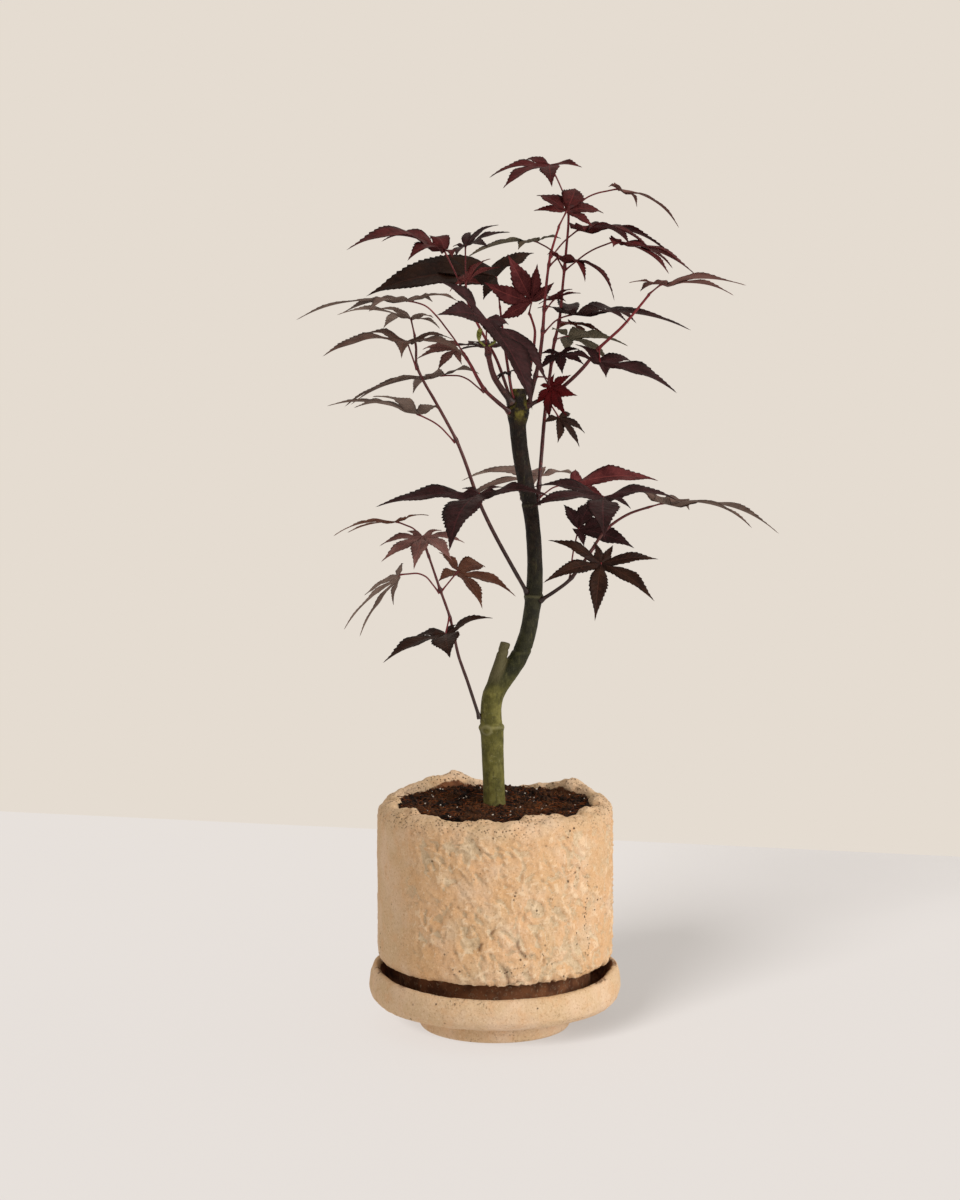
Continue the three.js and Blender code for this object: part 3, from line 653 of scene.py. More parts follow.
def pressed_saucer():
    """The saucer, with soil washed against the inside of its rim, and its floor below the rim painted
    soil brown as shade under the pot.
    """
    low, _ = box_mm("saucer")

    def spacing(a, b):
        return SAUCER_ROW if min(a[0], b[0]) > 40 else 6.0

    grid = rounded(turned_again("saucer", SAUCER_COLUMNS, spacing), 2)
    rows, columns = grid.shape[:2]
    points = grid.reshape(-1, 3)
    middle_low, middle_high = len(points), len(points) + 1
    points = np.vstack([points, [[0, 0, low[2]]], [[0, 0, grid[-1, :, 2].mean()]]])
    faces = grid_faces(rows, columns)
    last = (rows - 1) * columns
    for i in range(columns):
        following = (i + 1) % columns
        faces.append((middle_low, following, i))
        faces.append((middle_high, last + i, last + following))
    normals = skin_normals(points, faces)
    x, y, z = points.T
    radius = np.hypot(x, y)
    free = ease(low[2] + 1, low[2] + 4, z)
    row_of = np.concatenate([np.repeat(np.arange(rows), columns), [0, rows]])
    rim_row = grid[:, 0, 2].argmax()
    inside = row_of > rim_row
    shift = 0.6 * grit(points, 24, 71) + 0.28 * grit(points, 5, 75, 2) + 0.14 * grit(points, 2.2, 73, 2)
    shift *= free * np.where(inside & (radius < 60), 0.2, 1)
    finish = clay("saucer clay")
    made = piece("pressed_saucer", points + normals * shift[:, None], faces, [finish])

    over_rim = z - np.append(np.tile(grid[rim_row, :, 2], rows), [0, 0])
    # painted shade: the saucer below its rim, in the shaded gap under the pot, is coloured soil brown
    deep = 1 - ease(-4.2, -1.4, over_rim)
    sideways = np.abs(x) / np.maximum(radius, 1)
    patch = ease(-0.5, 0.6, grit(points, 10, 81)) * ease(0.45, 0.85, sideways)
    on_rim = ease(-6.5, -0.5, grid[rim_row, :, 0].max() + 1.5 - radius) * ease(-2.5, -0.5, over_rim)
    keep_marks(
        made, soiled=np.where(inside, 0.85 * patch + deep, 0.62 * patch * on_rim),
        pitted=np.clip(0.5 * ease(0.1, 0.6, grit(points, 14, 83)), 0, 1),
    )
    return made


# ---------------------------------------------------------------------------- the soil
def heaped_soil():
    """The surface of the potting soil, higher round the trunk and behind it, closed below."""
    low, high = box_mm("soil")
    rings, columns = 72, 260
    radii = np.linspace(0, 1, rings + 1)[1:] * high[0]
    turn = np.linspace(0, 2 * math.pi, columns, endpoint=False)
    r, t = np.meshgrid(radii, turn, indexing="ij")
    points = np.stack([r * np.cos(t), r * np.sin(t), np.zeros_like(r)], -1).reshape(-1, 3)
    points = np.vstack([points, [[0, 0, 0]]])
    points[:, 2] = soil_height(points)
    skirt = points[(rings - 1) * columns : rings * columns].copy()
    skirt[:, 2] = low[2] + 1
    count = len(points)
    points = np.vstack([points, skirt, [[0, 0, low[2] + 1]]])
    faces = [face[::-1] for face in grid_faces(rings, columns)]
    outer = (rings - 1) * columns
    for i in range(columns):
        following = (i + 1) % columns
        faces.append((rings * columns, i, following))
        faces.append((outer + i, count + i, count + following, outer + following))
        faces.append((count + following, count + i, count + columns))
    finish = soil_finish("potting soil", "140905", "4a2b1a", "68412a")
    return piece("heaped_soil", points, faces, [finish])


def soil_height(points):
    """How high the soil lies at the given points, in millimetres."""
    _, high = box_mm("soil")
    x, y = points[:, 0], points[:, 1]
    radius = np.hypot(x, y)
    flat = points * [1, 1, 0]
    heap = 6.5 * np.exp(-(((x + 8) / 16) ** 2 + ((y - 26) / 17) ** 2))
    collar = 2.0 * np.exp(-((radius / 11) ** 2))
    by_the_wall = 1.6 * ease(38, 55, radius)
    crumbly = 1.3 * grit(flat, 15, 91) + 1.7 * grit(flat, 5.0, 93, 4)
    return high[2] - 3.4 + heap + collar + by_the_wall + crumbly


def scatter(name, ground, shapes, material, count, smallest, largest, seed, flat):
    """Strews copies of small shapes over a ground mesh, each turned and sized at random.

    `flat` shapes stay nearly level; the others tumble freely."""
    tree = bpy.data.node_groups.new(name, "GeometryNodeTree")
    for label, kind, direction in (
        ("Ground", "NodeSocketGeometry", "INPUT"),
        ("Density", "NodeSocketFloat", "INPUT"),
        ("Smallest", "NodeSocketFloat", "INPUT"),
        ("Largest", "NodeSocketFloat", "INPUT"),
        ("Seed", "NodeSocketInt", "INPUT"),
        ("Grains", "NodeSocketGeometry", "OUTPUT"),
    ):
        tree.interface.new_socket(label, in_out=direction, socket_type=kind)
    add, join = tree.nodes.new, tree.links.new
    taken, given = add("NodeGroupInput"), add("NodeGroupOutput")
    strew = add("GeometryNodeDistributePointsOnFaces")
    join(taken.outputs["Ground"], strew.inputs["Mesh"])
    join(taken.outputs["Density"], strew.inputs["Density"])
    join(taken.outputs["Seed"], strew.inputs["Seed"])
    choose = add("GeometryNodeCollectionInfo")
    choose.inputs["Collection"].default_value = shapes
    choose.inputs["Separate Children"].default_value = True
    choose.inputs["Reset Children"].default_value = True
    turn = add("FunctionNodeRandomValue")
    turn.data_type = "FLOAT_VECTOR"
    tumble = 0.3 if flat else 3.14
    turn.inputs[0].default_value = (-tumble, -tumble, 0)
    turn.inputs[1].default_value = (tumble, tumble, 6.28)
    join(taken.outputs["Seed"], turn.inputs["Seed"])
    size = add("FunctionNodeRandomValue")
    join(taken.outputs["Smallest"], size.inputs[2])
    join(taken.outputs["Largest"], size.inputs[3])
    join(taken.outputs["Seed"], size.inputs["Seed"])
    put = add("GeometryNodeInstanceOnPoints")
    put.inputs["Pick Instance"].default_value = True
    join(strew.outputs["Points"], put.inputs["Points"])
    join(choose.outputs[0], put.inputs["Instance"])
    join(turn.outputs[0], put.inputs["Rotation"])
    join(size.outputs[1], put.inputs["Scale"])
    real, paint = add("GeometryNodeRealizeInstances"), add("GeometryNodeSetMaterial")
    paint.inputs["Material"].default_value = material
    join(put.outputs["Instances"], real.inputs["Geometry"])
    join(real.outputs["Geometry"], paint.inputs["Geometry"])
    join(paint.outputs["Geometry"], given.inputs["Grains"])

    made = bpy.data.objects.new(name, ground.copy())
    bpy.context.scene.collection.objects.link(made)
    modifier = made.modifiers.new(name, "NODES")
    modifier.node_group = tree
    area = sum(face.area for face in ground.polygons)
    wanted = {"Density": count / area, "Smallest": smallest, "Largest": largest, "Seed": seed}
    for socket in tree.interface.items_tree:
        if socket.name in wanted and socket.in_out == "INPUT":
            modifier[socket.identifier] = wanted[socket.name]
    settled(made)
    coat(made, material)
    return made


def stock(name, meshes):
    """A collection of shapes to strew, kept out of the scene."""
    shapes = bpy.data.collections.new(name)
    for i, mesh in enumerate(meshes):
        shapes.objects.link(bpy.data.objects.new(f"{name}_{i}", mesh))
    return shapes


def crumb(name, seed):
    """A rough lump, 1 mm across and a little flattened."""
    made = bmesh.new()
    bmesh.ops.create_icosphere(made, subdivisions=1, radius=0.5 * MM)
    mesh = bpy.data.meshes.new(name)
    made.to_mesh(mesh)
    made.free()
    points = points_of(mesh) / MM
    points *= (1 + 0.35 * lumps(points + 9, 0.45, seed))[:, None] * [1, 0.8, 0.75]
    set_points(mesh, points * MM)
    return mesh


def fibre(name, seed):
    """A bent root hair, about 1 mm long before it is sized."""
    along = np.linspace(0, 1, 7)
    across, over = 0.16 * np.sin(along * 3.1 + seed), 0.09 * np.cos(along * 4.0 + 2 * seed)
    points, faces = tube(np.stack([along - 0.5, across, over], 1), np.full(7, 0.028), 3)
    mesh = bpy.data.meshes.new(name)
    mesh.from_pydata((points * MM).tolist(), [], faces)
    return mesh


# ---------------------------------------------------------------------------- trunk and shoots
SHOOT_SIDES, STALK_SIDES = 12, 8


def grown_path(node):
    """The middle of a shoot's rings and their radii in mm, from its foot to its end."""
    joined = merged(node)

    def is_cap(vertex):
        normals = [face.normal for face in vertex.link_faces]
        return len(normals) > 3 and all(normals[0].dot(n) > 0.9999 for n in normals)

    caps = [v for v in joined.verts if is_cap(v)]
    trunk_middle = Vector((0.018, 0.003, 0.0))
    start = min(caps, key=lambda v: (v.co.xy - trunk_middle.xy).length + 0.02 * v.co.z)
    rings, seen = [[start]], {start}
    while True:
        ring = {e.other_vert(v) for v in rings[-1] for e in v.link_edges} - seen
        if not ring:
            break
        rings.append(list(ring))
        seen |= ring
    path = []
    for ring in rings[1:-1]:
        places = np.array([v.co for v in ring]) / MM
        middle = places.mean(0)
        path.append([*middle, np.linalg.norm(places - middle, axis=1).mean()])
    joined.free()
    return np.array(path)


def grown_shoot(name, node, finish, joints_at):
    """A shoot with a flared foot, slight swellings where leaves leave it, and a blunt narrow end."""
    stations = grown_path(node)
    back = unit(stations[0, :3] - stations[1, :3])
    root = np.concatenate([stations[0, :3] + back * (stations[0, 3] * 1.1 + 0.6), [stations[0, 3]]])
    stations = np.vstack([root, stations])
    path, at = along_path(stations, 0.9)
    radius = path[:, 3] * 1.03
    radius *= 1 + 0.75 * np.exp(-((at / 2.4) ** 2))
    ring = np.zeros(len(at))
    for spot in joints_at:
        near = np.linalg.norm(path[:, :3] - spot, axis=1)
        where = at[near.argmin()]
        if near.min() < 6:
            radius *= 1 + 0.38 * np.exp(-(((at - where) / 1.5) ** 2))
            ring = np.maximum(ring, 0.7 * np.exp(-(((at - where) / 0.55) ** 2)))
    radius[-1] *= 0.55
    radius *= 1 + 0.05 * lumps(path[:, :3], 2.4, 5)
    points, faces = tube(path[:, :3], radius, SHOOT_SIDES)
    made = piece(name, points, faces, [finish])
    keep_marks(
        made, along=np.concatenate([np.repeat(at / at[-1], SHOOT_SIDES), [0, 1]]),
        ring=np.concatenate([np.repeat(ring, SHOOT_SIDES), [0, 0]]),
    )
    return made


# Leaf scars round the trunk: height in mm, how far each swells, and how dark its mark is.
TRUNK_RINGS = ((173.5, 0.5, 0.4), (248, 0.45, 0.28), (216, 0.12, 0.06), (301, 0.2, 0.1))


def grown_trunk(finish):
    """The trunk with its stub, node rings, leaf scars, bud collar and flat sawn top."""
    joined = merged("trunk")
    mesh = bpy.data.meshes.new("grown_trunk")
    joined.to_mesh(mesh)
    joined.free()
    made = bpy.data.objects.new("grown_trunk", mesh)
    bpy.context.scene.collection.objects.link(made)
    remesh = made.modifiers.new("remesh", "REMESH")
    remesh.mode, remesh.voxel_size = "VOXEL", 0.42 * MM
    soften = made.modifiers.new("soften", "SMOOTH")
    soften.factor, soften.iterations = 0.6, 14
    settled(made)
    points, normals = points_of(made.data) / MM, normals_of(made.data)
    x, y, z = points.T
    tall = points * [1, 1, 0.35]
    shift = 0.22 + 0.28 * grit(tall, 5, 101) + 0.12 * grit(tall, 1.8, 103)
    scar = np.zeros(len(z))
    for height, swell, mark in TRUNK_RINGS:
        above = z - (height + 0.9 * lumps(points, 9, height))
        shift += swell * np.exp(-((above / 1.3) ** 2)) - 0.35 * np.exp(-(((above - 1.9) / 0.7) ** 2))
        scar = np.maximum(scar, mark * np.exp(-((above / 0.8) ** 2)))
    spot = np.array([-4.5, -6.5, 172])
    knot = np.linalg.norm((points - spot) * [1, 0.6, 1], axis=1)
    shift += 0.9 * np.exp(-((knot / 2.6) ** 2)) - 0.9 * np.exp(-((knot / 1.1) ** 2))
    scar = np.maximum(scar, 0.6 * np.exp(-(((knot - 2.4) / 0.8) ** 2)))
    collar = np.exp(-(((z - 354.5) / 5.0) ** 2))
    shift += collar * (0.9 * np.abs(lumps(points, 3.4, 111)) + 0.5 * grit(points, 1.6, 113))
    moss = collar * ease(-0.1, 0.45, grit(points, 4, 115))
    moss += 0.8 * ease(362, 366, z) * ease(-0.3, 0.3, grit(points, 3, 117))
    set_points(made.data, (points + normals * shift[:, None]) * MM)
    coat(made, finish)
    off_stub = np.hypot(x - (0.5 + 5.0 * np.clip((z - 200) / 22, 0, 1)), y + 3)
    stub = (1 - ease(3.8, 5.6, off_stub)) * ease(196, 204, z) * (1 - ease(224, 228, z))
    keep_marks(made, scar=scar, stub=stub, moss=np.clip(moss, 0, 0.9))
    return made


def opening_buds(name, node, finish):
    """Two fresh buds beside the end of a shoot, each a tuft of pointed scales on a short neck."""
    end = grown_path(node)[-1, :3]
    scales = 6
    chance = np.random.default_rng(7)
    points, faces, count = [], [], 0
    for way in (np.array([-4.2, -1.5, 2.0]), np.array([4.6, -2.5, 1.0])):
        foot = end + way
        neck = np.linspace(end + [0, 0, -1.5], foot, 5)
        rods = [(neck, np.full(5, 0.55))]
        scale_radii = 0.75 * np.sin(np.linspace(0.6, 3.05, 6)) + 0.03
        t = np.linspace(0, 1, 6)[:, None]
        for i in range(scales):
            turn = i / scales * 2 * math.pi + chance.uniform(-0.4, 0.4)
            spread = chance.uniform(0.6, 2.0)
            tip = foot + [math.cos(turn) * spread, math.sin(turn) * spread, chance.uniform(4.2, 7.6)]
            rods.append((foot * (1 - t) + tip * t + way * 0.12 * t * (1 - t), scale_radii))
        for path, radii in rods:
            rod, rod_faces = tube(path, radii, 8, count)
            points.append(rod)
            faces += rod_faces
            count += len(rod)
    return piece(name, np.vstack(points), faces, [finish])


# ---------------------------------------------------------------------------- leaves
BELLY, SHOULDER = 0.46, 0.74  # where along a rib the CAD leaf has its widest and its narrowing pair
BASE_ROWS = 5  # rows of a lobe between the hub and its notches
LAST_TOOTH = 0.965  # where along a rib the teeth end
TOOTH = 2.9  # mm from one tooth to the next
FULLER = 1.06  # a lobe's curved margin bulges past the straight CAD one
# From rib to margin: where the points of a row lie, and how far the faces stand off the middle.
ACROSS = np.array([0.0, 0.05, 0.16, 0.42, 0.72, 1.0])
ABOVE, BELOW = [0.08, 0.13, 0.17, 0.15, 0.12, 0.0], [0.50, 0.24, 0.15, 0.14, 0.12, 0.0]


def read_leaf(node):
    """Where a leaf lies: its hub, upward side, lobes and stalk, in millimetres.

    A lobe's tip has four neighbours: the two ends of its margins, which have four as well, and the
    end of its rib on either face. From there each margin is followed back to its notch."""
    joined = merged(node)

    def place(*vertices):
        return np.mean([np.array(v.co) for v in vertices], axis=0) / MM

    near = {v: {e.other_vert(v) for e in v.link_edges} for v in joined.verts}
    four = {v for v in joined.verts if len(near[v]) == 4}
    tips = [v for v in four if len(near[v] & four) == 2]
    lobes, seen, all_notches, rises = [], set(), [], []
    for tip in tips:
        thins = list(near[tip] & four)
        shoulder = near[tip] - four
        wides = [next(iter(near[thin] - shoulder - {tip})) for thin in thins]
        belly = (near[wides[0]] & near[wides[1]]) - shoulder
        notches = [next(iter(near[w] - belly - shoulder - {thin})) for w, thin in zip(wides, thins)]
        seen |= {tip, *thins, *wides, *notches} | shoulder | belly
        all_notches += notches
        rises.append(unit(place(*wides) - place(*belly)))
        lobes.append({
            "tip": place(tip), "belly": place(*belly), "shoulder": place(*shoulder),
            "edges": [[place(w), place(thin)] for w, thin in zip(wides, thins)],
            "notches": [place(notch) for notch in notches],
        })
    hub = set.intersection(*(near[notch] for notch in all_notches)) - seen
    seen |= hub
    up, centre = unit(np.sum(rises, axis=0)), place(*hub)
    corners = {v for notch in all_notches for v in near[notch]} - seen
    middle = unit(np.mean([lobe["tip"] for lobe in lobes], axis=0) - place(*corners))
    forward = squared(middle, up)
    left = np.cross(up, forward)
    for lobe in lobes:
        way = unit(lobe["tip"] - centre)
        lobe["turn"] = math.atan2(way @ left, way @ forward)
        if (lobe["edges"][0][0] - lobe["edges"][1][0]) @ np.cross(up, way) < 0:
            lobe["edges"].reverse()
            lobe["notches"].reverse()
    lobes.sort(key=lambda lobe: -lobe["turn"])
    ring, stalk = hub | corners, []
    seen |= corners
    while True:
        ring = {w for v in ring for w in near[v]} - seen
        if not ring:
            break
        seen |= ring
        stalk.append(place(*ring))
    joined.free()
    return {"hub": centre, "up": up, "left": left, "lobes": lobes, "stalk": stalk[::-1]}


def lobe_plan(lobe, hub, up, chance):
    """A lobe's rib with its rows, set by turns in the gap before a tooth and at a tooth's tip."""
    straight = lobe["tip"] - hub
    reach = np.linalg.norm(straight)
    way = unit(straight)
    bow = np.mean([
        (lobe[key] - hub - straight * share) / (4 * share * (1 - share))
        for key, share in (("belly", BELLY), ("shoulder", SHOULDER))
    ], axis=0)
    start = min(0.38, np.mean([np.linalg.norm(notch - hub) for notch in lobe["notches"]]) / reach)
    teeth = max(7, round(reach * 0.84 / (TOOTH * (1 + 0.25 * ease(45, 70, reach)))))
    gaps = start + (LAST_TOOTH - start) * (np.arange(teeth) / teeth) ** 0.94
    peaks = gaps + 0.62 * np.diff(np.append(gaps, LAST_TOOTH))
    base = start * np.arange(BASE_ROWS) / BASE_ROWS
    shares = np.concatenate([base, np.stack([gaps, peaks], 1).ravel(), [LAST_TOOTH, 1.0]])
    sway = chance.uniform(-0.07, 0.07) * reach
    drop = chance.uniform(-0.07, 0.01) * reach
    sideways = squared(lobe["edges"][0][0] - lobe["edges"][1][0], way)
    lobe_up = unit(np.cross(way, sideways))
    if lobe_up @ up < 0:
        lobe_up = -lobe_up
    s = shares[:, None]
    rib = hub + straight * s + bow * 4 * s * (1 - s)
    rib = rib + sideways * sway * 4 * (s * (1 - s)) ** 1.5
    rib = rib + lobe_up * drop * np.maximum(s - 0.55, 0) ** 2 * 4
    at_notch = hub + straight * start + bow * 4 * start * (1 - start)
    return {"way": way, "reach": reach, "start": start, "shares": shares,
            "up": lobe_up, "rib": rib, "at_notch": at_notch}


def margins(lobe, side, plan, chance):
    """The way from the rib to one margin at every row: once plain, and once with its teeth."""
    shares, start = plan["shares"], plan["start"]
    wide = FULLER * (lobe["edges"][side][0] - lobe["belly"])
    thin = FULLER * (lobe["edges"][side][1] - lobe["shoulder"])
    first = lobe["notches"][side] - plan["at_notch"]
    knots = [start, 0.5 * (start + BELLY), BELLY, SHOULDER, 0.88, 1.0]
    values = [first, first * 0.3 + wide * 0.74, wide, thin * 0.96, thin * 0.33, wide * 0.0]
    plain = flow(knots, values, np.maximum(shares, start))
    width = np.linalg.norm(plain, axis=1)
    tooth, part = np.divmod(np.arange(len(shares)) - BASE_ROWS, 2)
    toothy = (tooth >= 0) & (np.arange(len(shares)) < len(shares) - 2)
    gap, peak = toothy & (part == 0), toothy & (part == 1)
    deepest = 0.7 + 0.4 * ease(45, 70, plan["reach"])
    bite = np.minimum(0.15 * width + 0.03, deepest) * chance.uniform(0.55, 1.25, len(shares))
    bite = bite * np.where(tooth % 2 == 0, 1.0, 0.6) * ease(start, start + 0.1, shares)
    outward = plain / np.maximum(width, 1e-6)[:, None]
    toothed = plain + outward * (np.where(peak, 0.6 * bite, 0) - np.where(gap, 0.55 * bite, 0))[:, None]
    toothed = toothed + plan["way"] * np.where(peak, 0.55 * bite + 0.25, 0)[:, None]
    toothed[-1] = 0
    return plain, toothed


def half_lobe(lobe, side, plan, hub, phase, chance):
    """The middle of the blade on one side of a rib: rows of points from the rib to the margin."""
    plain, toothed = margins(lobe, side, plan, chance)
    shares, rib, lobe_up = plan["shares"], plan["rib"], plan["up"]
    ruffle = 0.035 * plan["reach"] * np.sin(shares * 11 + phase)
    ruffle = ruffle * ease(plan["start"] + 0.05, 0.5, shares) * (1 - shares)
    sheet = np.zeros((len(shares), len(ACROSS), 3))
    for k, u in enumerate(ACROSS):
        offset = plain * (1 - u**0.6) + toothed * u**0.6
        rise = (offset @ lobe_up)[:, None] * lobe_up
        sheet[:, k] = rib + (offset - rise) * u + rise * u**1.5 + lobe_up * (ruffle * u * u)[:, None]
    for row in range(BASE_ROWS):  # up to the notch, the lobe is bounded by the line from the hub
        border = hub + (lobe["notches"][side] - hub) * (row / BASE_ROWS)
        sheet[row] = rib[row] + (border - rib[row]) * ACROSS[:, None]
    return sheet


def leaf_depths(shares, outer):
    """How far the upper and the under face stand off the middle, in mm: nothing at a margin, and
    most under the rib. An `outer` side has a free margin all the way to the hub."""
    above, below = np.tile(ABOVE, (len(shares), 1)), np.tile(BELOW, (len(shares), 1))
    below[:, 0] -= 0.33 * shares
    if not outer:
        above[:BASE_ROWS, -1] = below[:BASE_ROWS, -1] = 0.13
    above[-1], below[-1] = 0.0, 0.0
    above[0], below[0] = 0.13, 0.45
    return above, below


def stalk_line(leaf):
    """The leaf stalk's middle line, its measure and its radii, from the shoot to under the hub."""
    stalk, hub, up = np.array(leaf["stalk"]), leaf["hub"], leaf["up"]
    back = unit(stalk[0] - stalk[1])
    inwards = unit(hub - np.mean([lobe["tip"] for lobe in leaf["lobes"]], axis=0))
    under_hub = [hub - up * 0.18, hub - up * 0.15 - inwards * 1.4]
    path, at = along_path(np.vstack([stalk[0] + back * 1.6, stalk, *under_hub]), 1.1)
    radius = 0.46 + 0.30 * np.exp(-((at / 2.2) ** 2))
    radius += 0.16 * np.exp(-(((at - at[-1] + 1.4) / 1.6) ** 2))
    radius[-1] = 0.15
    return path, at, radius


def welded(made):
    """Joins a leaf's sheets where they meet and closes any small gap that is left."""
    joined = bmesh.new()
    joined.from_mesh(made.data)
    bmesh.ops.remove_doubles(joined, verts=joined.verts, dist=0.012 * MM)
    bmesh.ops.dissolve_degenerate(joined, edges=joined.edges, dist=0.004 * MM)
    loose = [e for e in joined.edges if len(e.link_faces) == 1]
    if loose:
        bmesh.ops.holes_fill(joined, edges=loose, sides=6)
    bmesh.ops.recalc_face_normals(joined, faces=joined.faces)
    joined.to_mesh(made.data)
    joined.free()
    made.data.update()
    return made


def grown_leaf(name, node, finishes, seed):
    """A palmate leaf: toothed lobes with drawn-out tips, thin at the margin and ribbed beneath."""
    leaf = read_leaf(node)
    chance = np.random.default_rng(seed)
    hub, up = leaf["hub"], leaf["up"]
    points, faces, choice, maps = [], [], [], []
    count = 0
    last_lobe = len(leaf["lobes"]) - 1
    for number, lobe in enumerate(leaf["lobes"]):
        plan = lobe_plan(lobe, hub, up, chance)
        shares = plan["shares"]
        away = ease(0.0, 0.3, shares[:, None])
        normal = up * (1 - away) + plan["up"] * away
        phase = chance.uniform(0, 6.28, 2)
        for side in (0, 1):
            sheet = half_lobe(lobe, side, plan, hub, phase[side], chance)
            depths = leaf_depths(shares, (number, side) in ((0, 0), (last_lobe, 1)))
            lay = np.stack(np.meshgrid(0.5 + (0.5 - side) * ACROSS, shares), -1)
            for under, sign in enumerate((1, -1)):
                laid = sheet + sign * depths[under][:, :, None] * normal[:, None, :]
                points.append(laid.reshape(-1, 3))
                new = grid_faces(*sheet.shape[:2], wrap=False, first=count)
                faces += [face[::-1] for face in new] if side == under else new
                choice += [under] * len(new)
                maps.append(lay.reshape(-1, 2))
                count += len(points[-1])
    path, at, radius = stalk_line(leaf)
    rod, rod_faces = tube(path, radius, STALK_SIDES, count)
    points.append(rod)
    faces += rod_faces
    choice += [2] * len(rod_faces)
    share = np.concatenate([np.repeat(at / at[-1], STALK_SIDES), [0, 1]])
    maps.append(np.stack([np.full(len(share), 0.5), share], 1))
    made = piece(name, np.vstack(points), faces, finishes, choice)
    layer = made.data.uv_layers.new(name="lobe")
    corners = np.zeros(len(made.data.loops), dtype=np.int32)
    made.data.loops.foreach_get("vertex_index", corners)
    layer.data.foreach_set("uv", np.vstack(maps)[corners].astype(np.float32).ravel())
    return welded(made)


# ---------------------------------------------------------------------------- camera, light, floor
def look(obj, target):
    obj.rotation_euler = (Vector(target) - obj.location).to_track_quat("-Z", "Y").to_euler()


def camera():
    """Level with the crown and pitched a little down."""
    data = bpy.data.cameras.new("camera")
    data.lens, data.sensor_width, data.sensor_fit = 60, 36, "AUTO"
    data.clip_start, data.clip_end = 0.05, 50
    made = bpy.data.objects.new("camera", data)
    made.location = (-0.0086, -1.1454, 0.3276)
    made.rotation_euler = (math.radians(90 - 4.056), 0, 0)
    bpy.context.scene.collection.objects.link(made)
    bpy.context.scene.camera = made


def sun(name, place, power, softness, color):
    """Even light from far away: it shines from `place` towards the middle of the tree."""
    data = bpy.data.lights.new(name, "SUN")
    data.energy, data.angle, data.color = power, math.radians(softness), color
    made = bpy.data.objects.new(name, data)
    made.location = place
    bpy.context.scene.collection.objects.link(made)
    look(made, (0, 0, 0.2))
    return made


def studio():
    """A pale table before a warm pale wall. One light falls on the tree from the front right; the
    table has a light of its own from the front left, which leaves a faint shadow at the back right."""
    world = bpy.data.worlds.new("studio")
    world.use_nodes = True
    nodes, link = world.node_tree.nodes, world.node_tree.links.new
    back = nodes["Background"]
    back.inputs["Color"].default_value = tint("e5dcd1")
    dimmer = nodes.new("ShaderNodeMapRange")
    dimmer.inputs["To Min"].default_value = 0.78
    dimmer.inputs["To Max"].default_value = 1.0
    link(nodes.new("ShaderNodeLightPath").outputs["Is Camera Ray"], dimmer.inputs["Value"])
    link(dimmer.outputs["Result"], back.inputs["Strength"])
    bpy.context.scene.world = world
    bpy.context.scene.view_settings.view_transform = "Standard"

    f = Finish("table", 0.95, 0.0)
    table = f.done(f.mix(f.noise(3, 2), tint("7c7a79"), tint("7e7c7b")))
    f.shader.inputs["Emission Color"].default_value = tint("e8e2dd")
    f.shader.inputs["Emission Strength"].default_value = 0.545
    corners = np.array([(-3, -4, 0), (3, -4, 0), (3.0, -0.175, 0), (-3.0, 1.338, 0)])
    made = piece("table", corners / MM, [(0, 1, 2, 3)], [table])

    window = sun("window", (1.64, -1.3, 1.15), 2.05, 32, (1.0, 0.975, 0.94))
    lamp = sun("lamp", (-0.95, -1.6, 0.95), 9.7, 28, (1.0, 0.995, 0.99))
    for light, state in ((window, "EXCLUDE"), (lamp, "INCLUDE")):
        only = bpy.data.collections.new("lit by the " + light.name)
        only.objects.link(made)
        light.light_linking.receiver_collection = only
        only.collection_objects[0].light_linking.link_state = state


camera()
studio()

# ---- clay and soil
built = []
pot = pressed_pot()
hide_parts("pot")
saucer = pressed_saucer()
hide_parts("saucer")
earth = heaped_soil()
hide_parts("soil")
built += [pot, saucer, earth]

ground_faces = [p for p in earth.data.polygons if p.normal.z > 0.2 and p.center.xy.length > 8 * MM]
ground_mesh = bpy.data.meshes.new("ground")
ground_mesh.from_pydata(points_of(earth.data).tolist(), [], [tuple(p.vertices) for p in ground_faces])
crumbs = stock("crumbs", [crumb(f"crumb_{i}", i + 1) for i in range(4)])
hairs = stock("hairs", [fibre(f"hair_{i}", i + 1) for i in range(5)])
crumbly = soil_finish("soil crumbs", "150a05", "55341d", "805030")
rooty = soil_finish("root fibres", "5a2c15", "8a4c24", "b07c48")
# name, shapes, material, number, smallest and largest in mm, seed, and whether they lie flat
for name, *how in (
    ("soil_crumbs", crumbs, crumbly, 1500, 0.8, 4.4, 1, False),
    ("soil_fibres", hairs, rooty, 1100, 3.0, 10.0, 2, True),
    ("soil_perlite", crumbs, perlite(), 110, 0.5, 2.1, 3, False),
):
    strewn = scatter(name, ground_mesh, *how)
    built.append(strewn)

# ---- the tree
names = sorted(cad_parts)
leaves = {name: read_leaf(name) for name in names if name.startswith("leaf_")}
trunk = grown_trunk(bark())
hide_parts("trunk")
built.append(trunk)

crimson = shoot("young shoot", "3a1a18", "7c1c26", "9a3a38")
brown = shoot("older shoot", "2c1a16", "5a1f20", "6a4438")
for name in names:
    if not name.startswith("branch_"):
        continue
    starts = [leaf["stalk"][0] for leaf_name, leaf in leaves.items()
              if leaf_name.startswith("leaf_" + name[len("branch_"):] + "_")]
    older = name in ("branch_mid_left", "branch_low_left", "branch_mid_right", "branch_crown_bud")
    made = grown_shoot("grown_" + name, name, brown if older else crimson, starts)
    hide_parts(name)
    built.append(made)

buds = opening_buds("opening_buds", "branch_crown_bud", bud_scale())
built.append(buds)

stalk = shoot("leaf stalk", "6c1a20", "7e1f28", "984040")
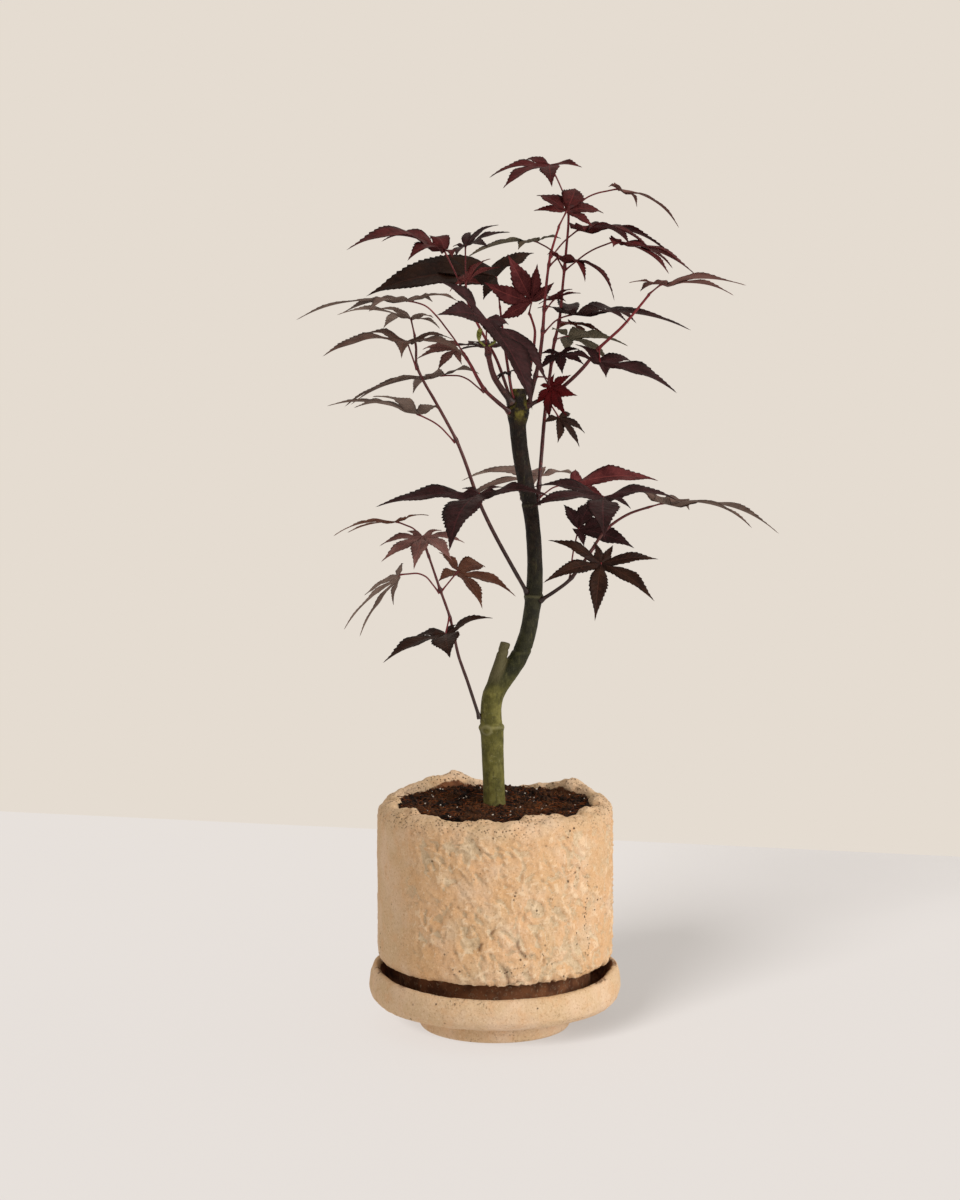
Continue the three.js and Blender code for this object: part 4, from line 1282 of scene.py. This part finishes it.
# the shades a leaf can have: its upper face and its under face, each deep, plain and at the veins
SHADES = {
    "plum": (("211010", "371e1f", "4e2629"), ("332020", "4c302e", "66433c")),
    "umber": (("20110c", "341f14", "4a2a20"), ("2c1a12", "442a1c", "5a3a2a")),
    "maroon": (("340f0e", "4f1b1c", "702a2a"), ("42181a", "5c2a2a", "7c403c")),
    "ruby": (("44181a", "622a2b", "843e3c"), ("50201f", "6e3634", "8c4c48")),
    "crimson": (("3c0608", "58080c", "701a1c"), ("42060a", "5e0c12", "781e22")),
    "dusky": (("54342f", "755049", "803c36"), ("664640", "866058", "946058")),
    "pale": (("664844", "8a6660", "955850"), ("704e48", "90706a", "a07068")),
    "bronze": (("4c3a32", "6a554c", "7a4a40"), ("5c4c44", "7c6a60", "8e7466")),
    "fawn": (("68524a", "8c746a", "946058"), ("75645a", "988478", "a08474")),
    "rust": (("50301f", "704b3c", "843c2c"), ("563428", "755140", "8a5440")),
    "amber": (("341006", "54200c", "6a3018"), ("3c1206", "622a0e", "763c1c")),
    "olive": (("453d31", "655846", "6a5040"), ("524c3e", "726a58", "7a6a56")),
}
SHADE_OF = {
    "umber": ("crown_inner_1", "mid_right_1", "low_left_1", "right_1"),
    "maroon": ("crown_fork_2", "leader_9", "tall_4", "tall_6", "tall_3", "tall_5"),
    "ruby": ("crown_centre_1", "crown_fork_1", "leader_2", "leader_7"),
    "crimson": ("tall_1",),
    "dusky": ("right_3", "leader_8", "crown_left_2"),
    "pale": ("low_left_4",),
    "bronze": ("low_left_3", "mid_left_2", "mid_left_3", "mid_right_4", "crown_left_1", "crown_left_3"),
    "rust": ("low_left_2", "low_left_5"),
    "fawn": ("mid_left_4", "leader_1"),
    "amber": ("leader_5",),
    "olive": ("leader_4", "leader_6"),
}
FINISHES = {
    shade: [blade(f"{shade} leaf above", *above), blade(f"{shade} leaf below", *below, 0.7, 0.08)]
    for shade, (above, below) in SHADES.items()
}
for seed, name in enumerate(sorted(leaves)):
    short = name[len("leaf_"):]
    shade = next((shade for shade, those in SHADE_OF.items() if short in those), "plum")
    made = grown_leaf("grown_" + name, name, [*FINISHES[shade], stalk], seed + 1)
    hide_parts(name)
    built.append(made)

for made in built:
    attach(made, "root")
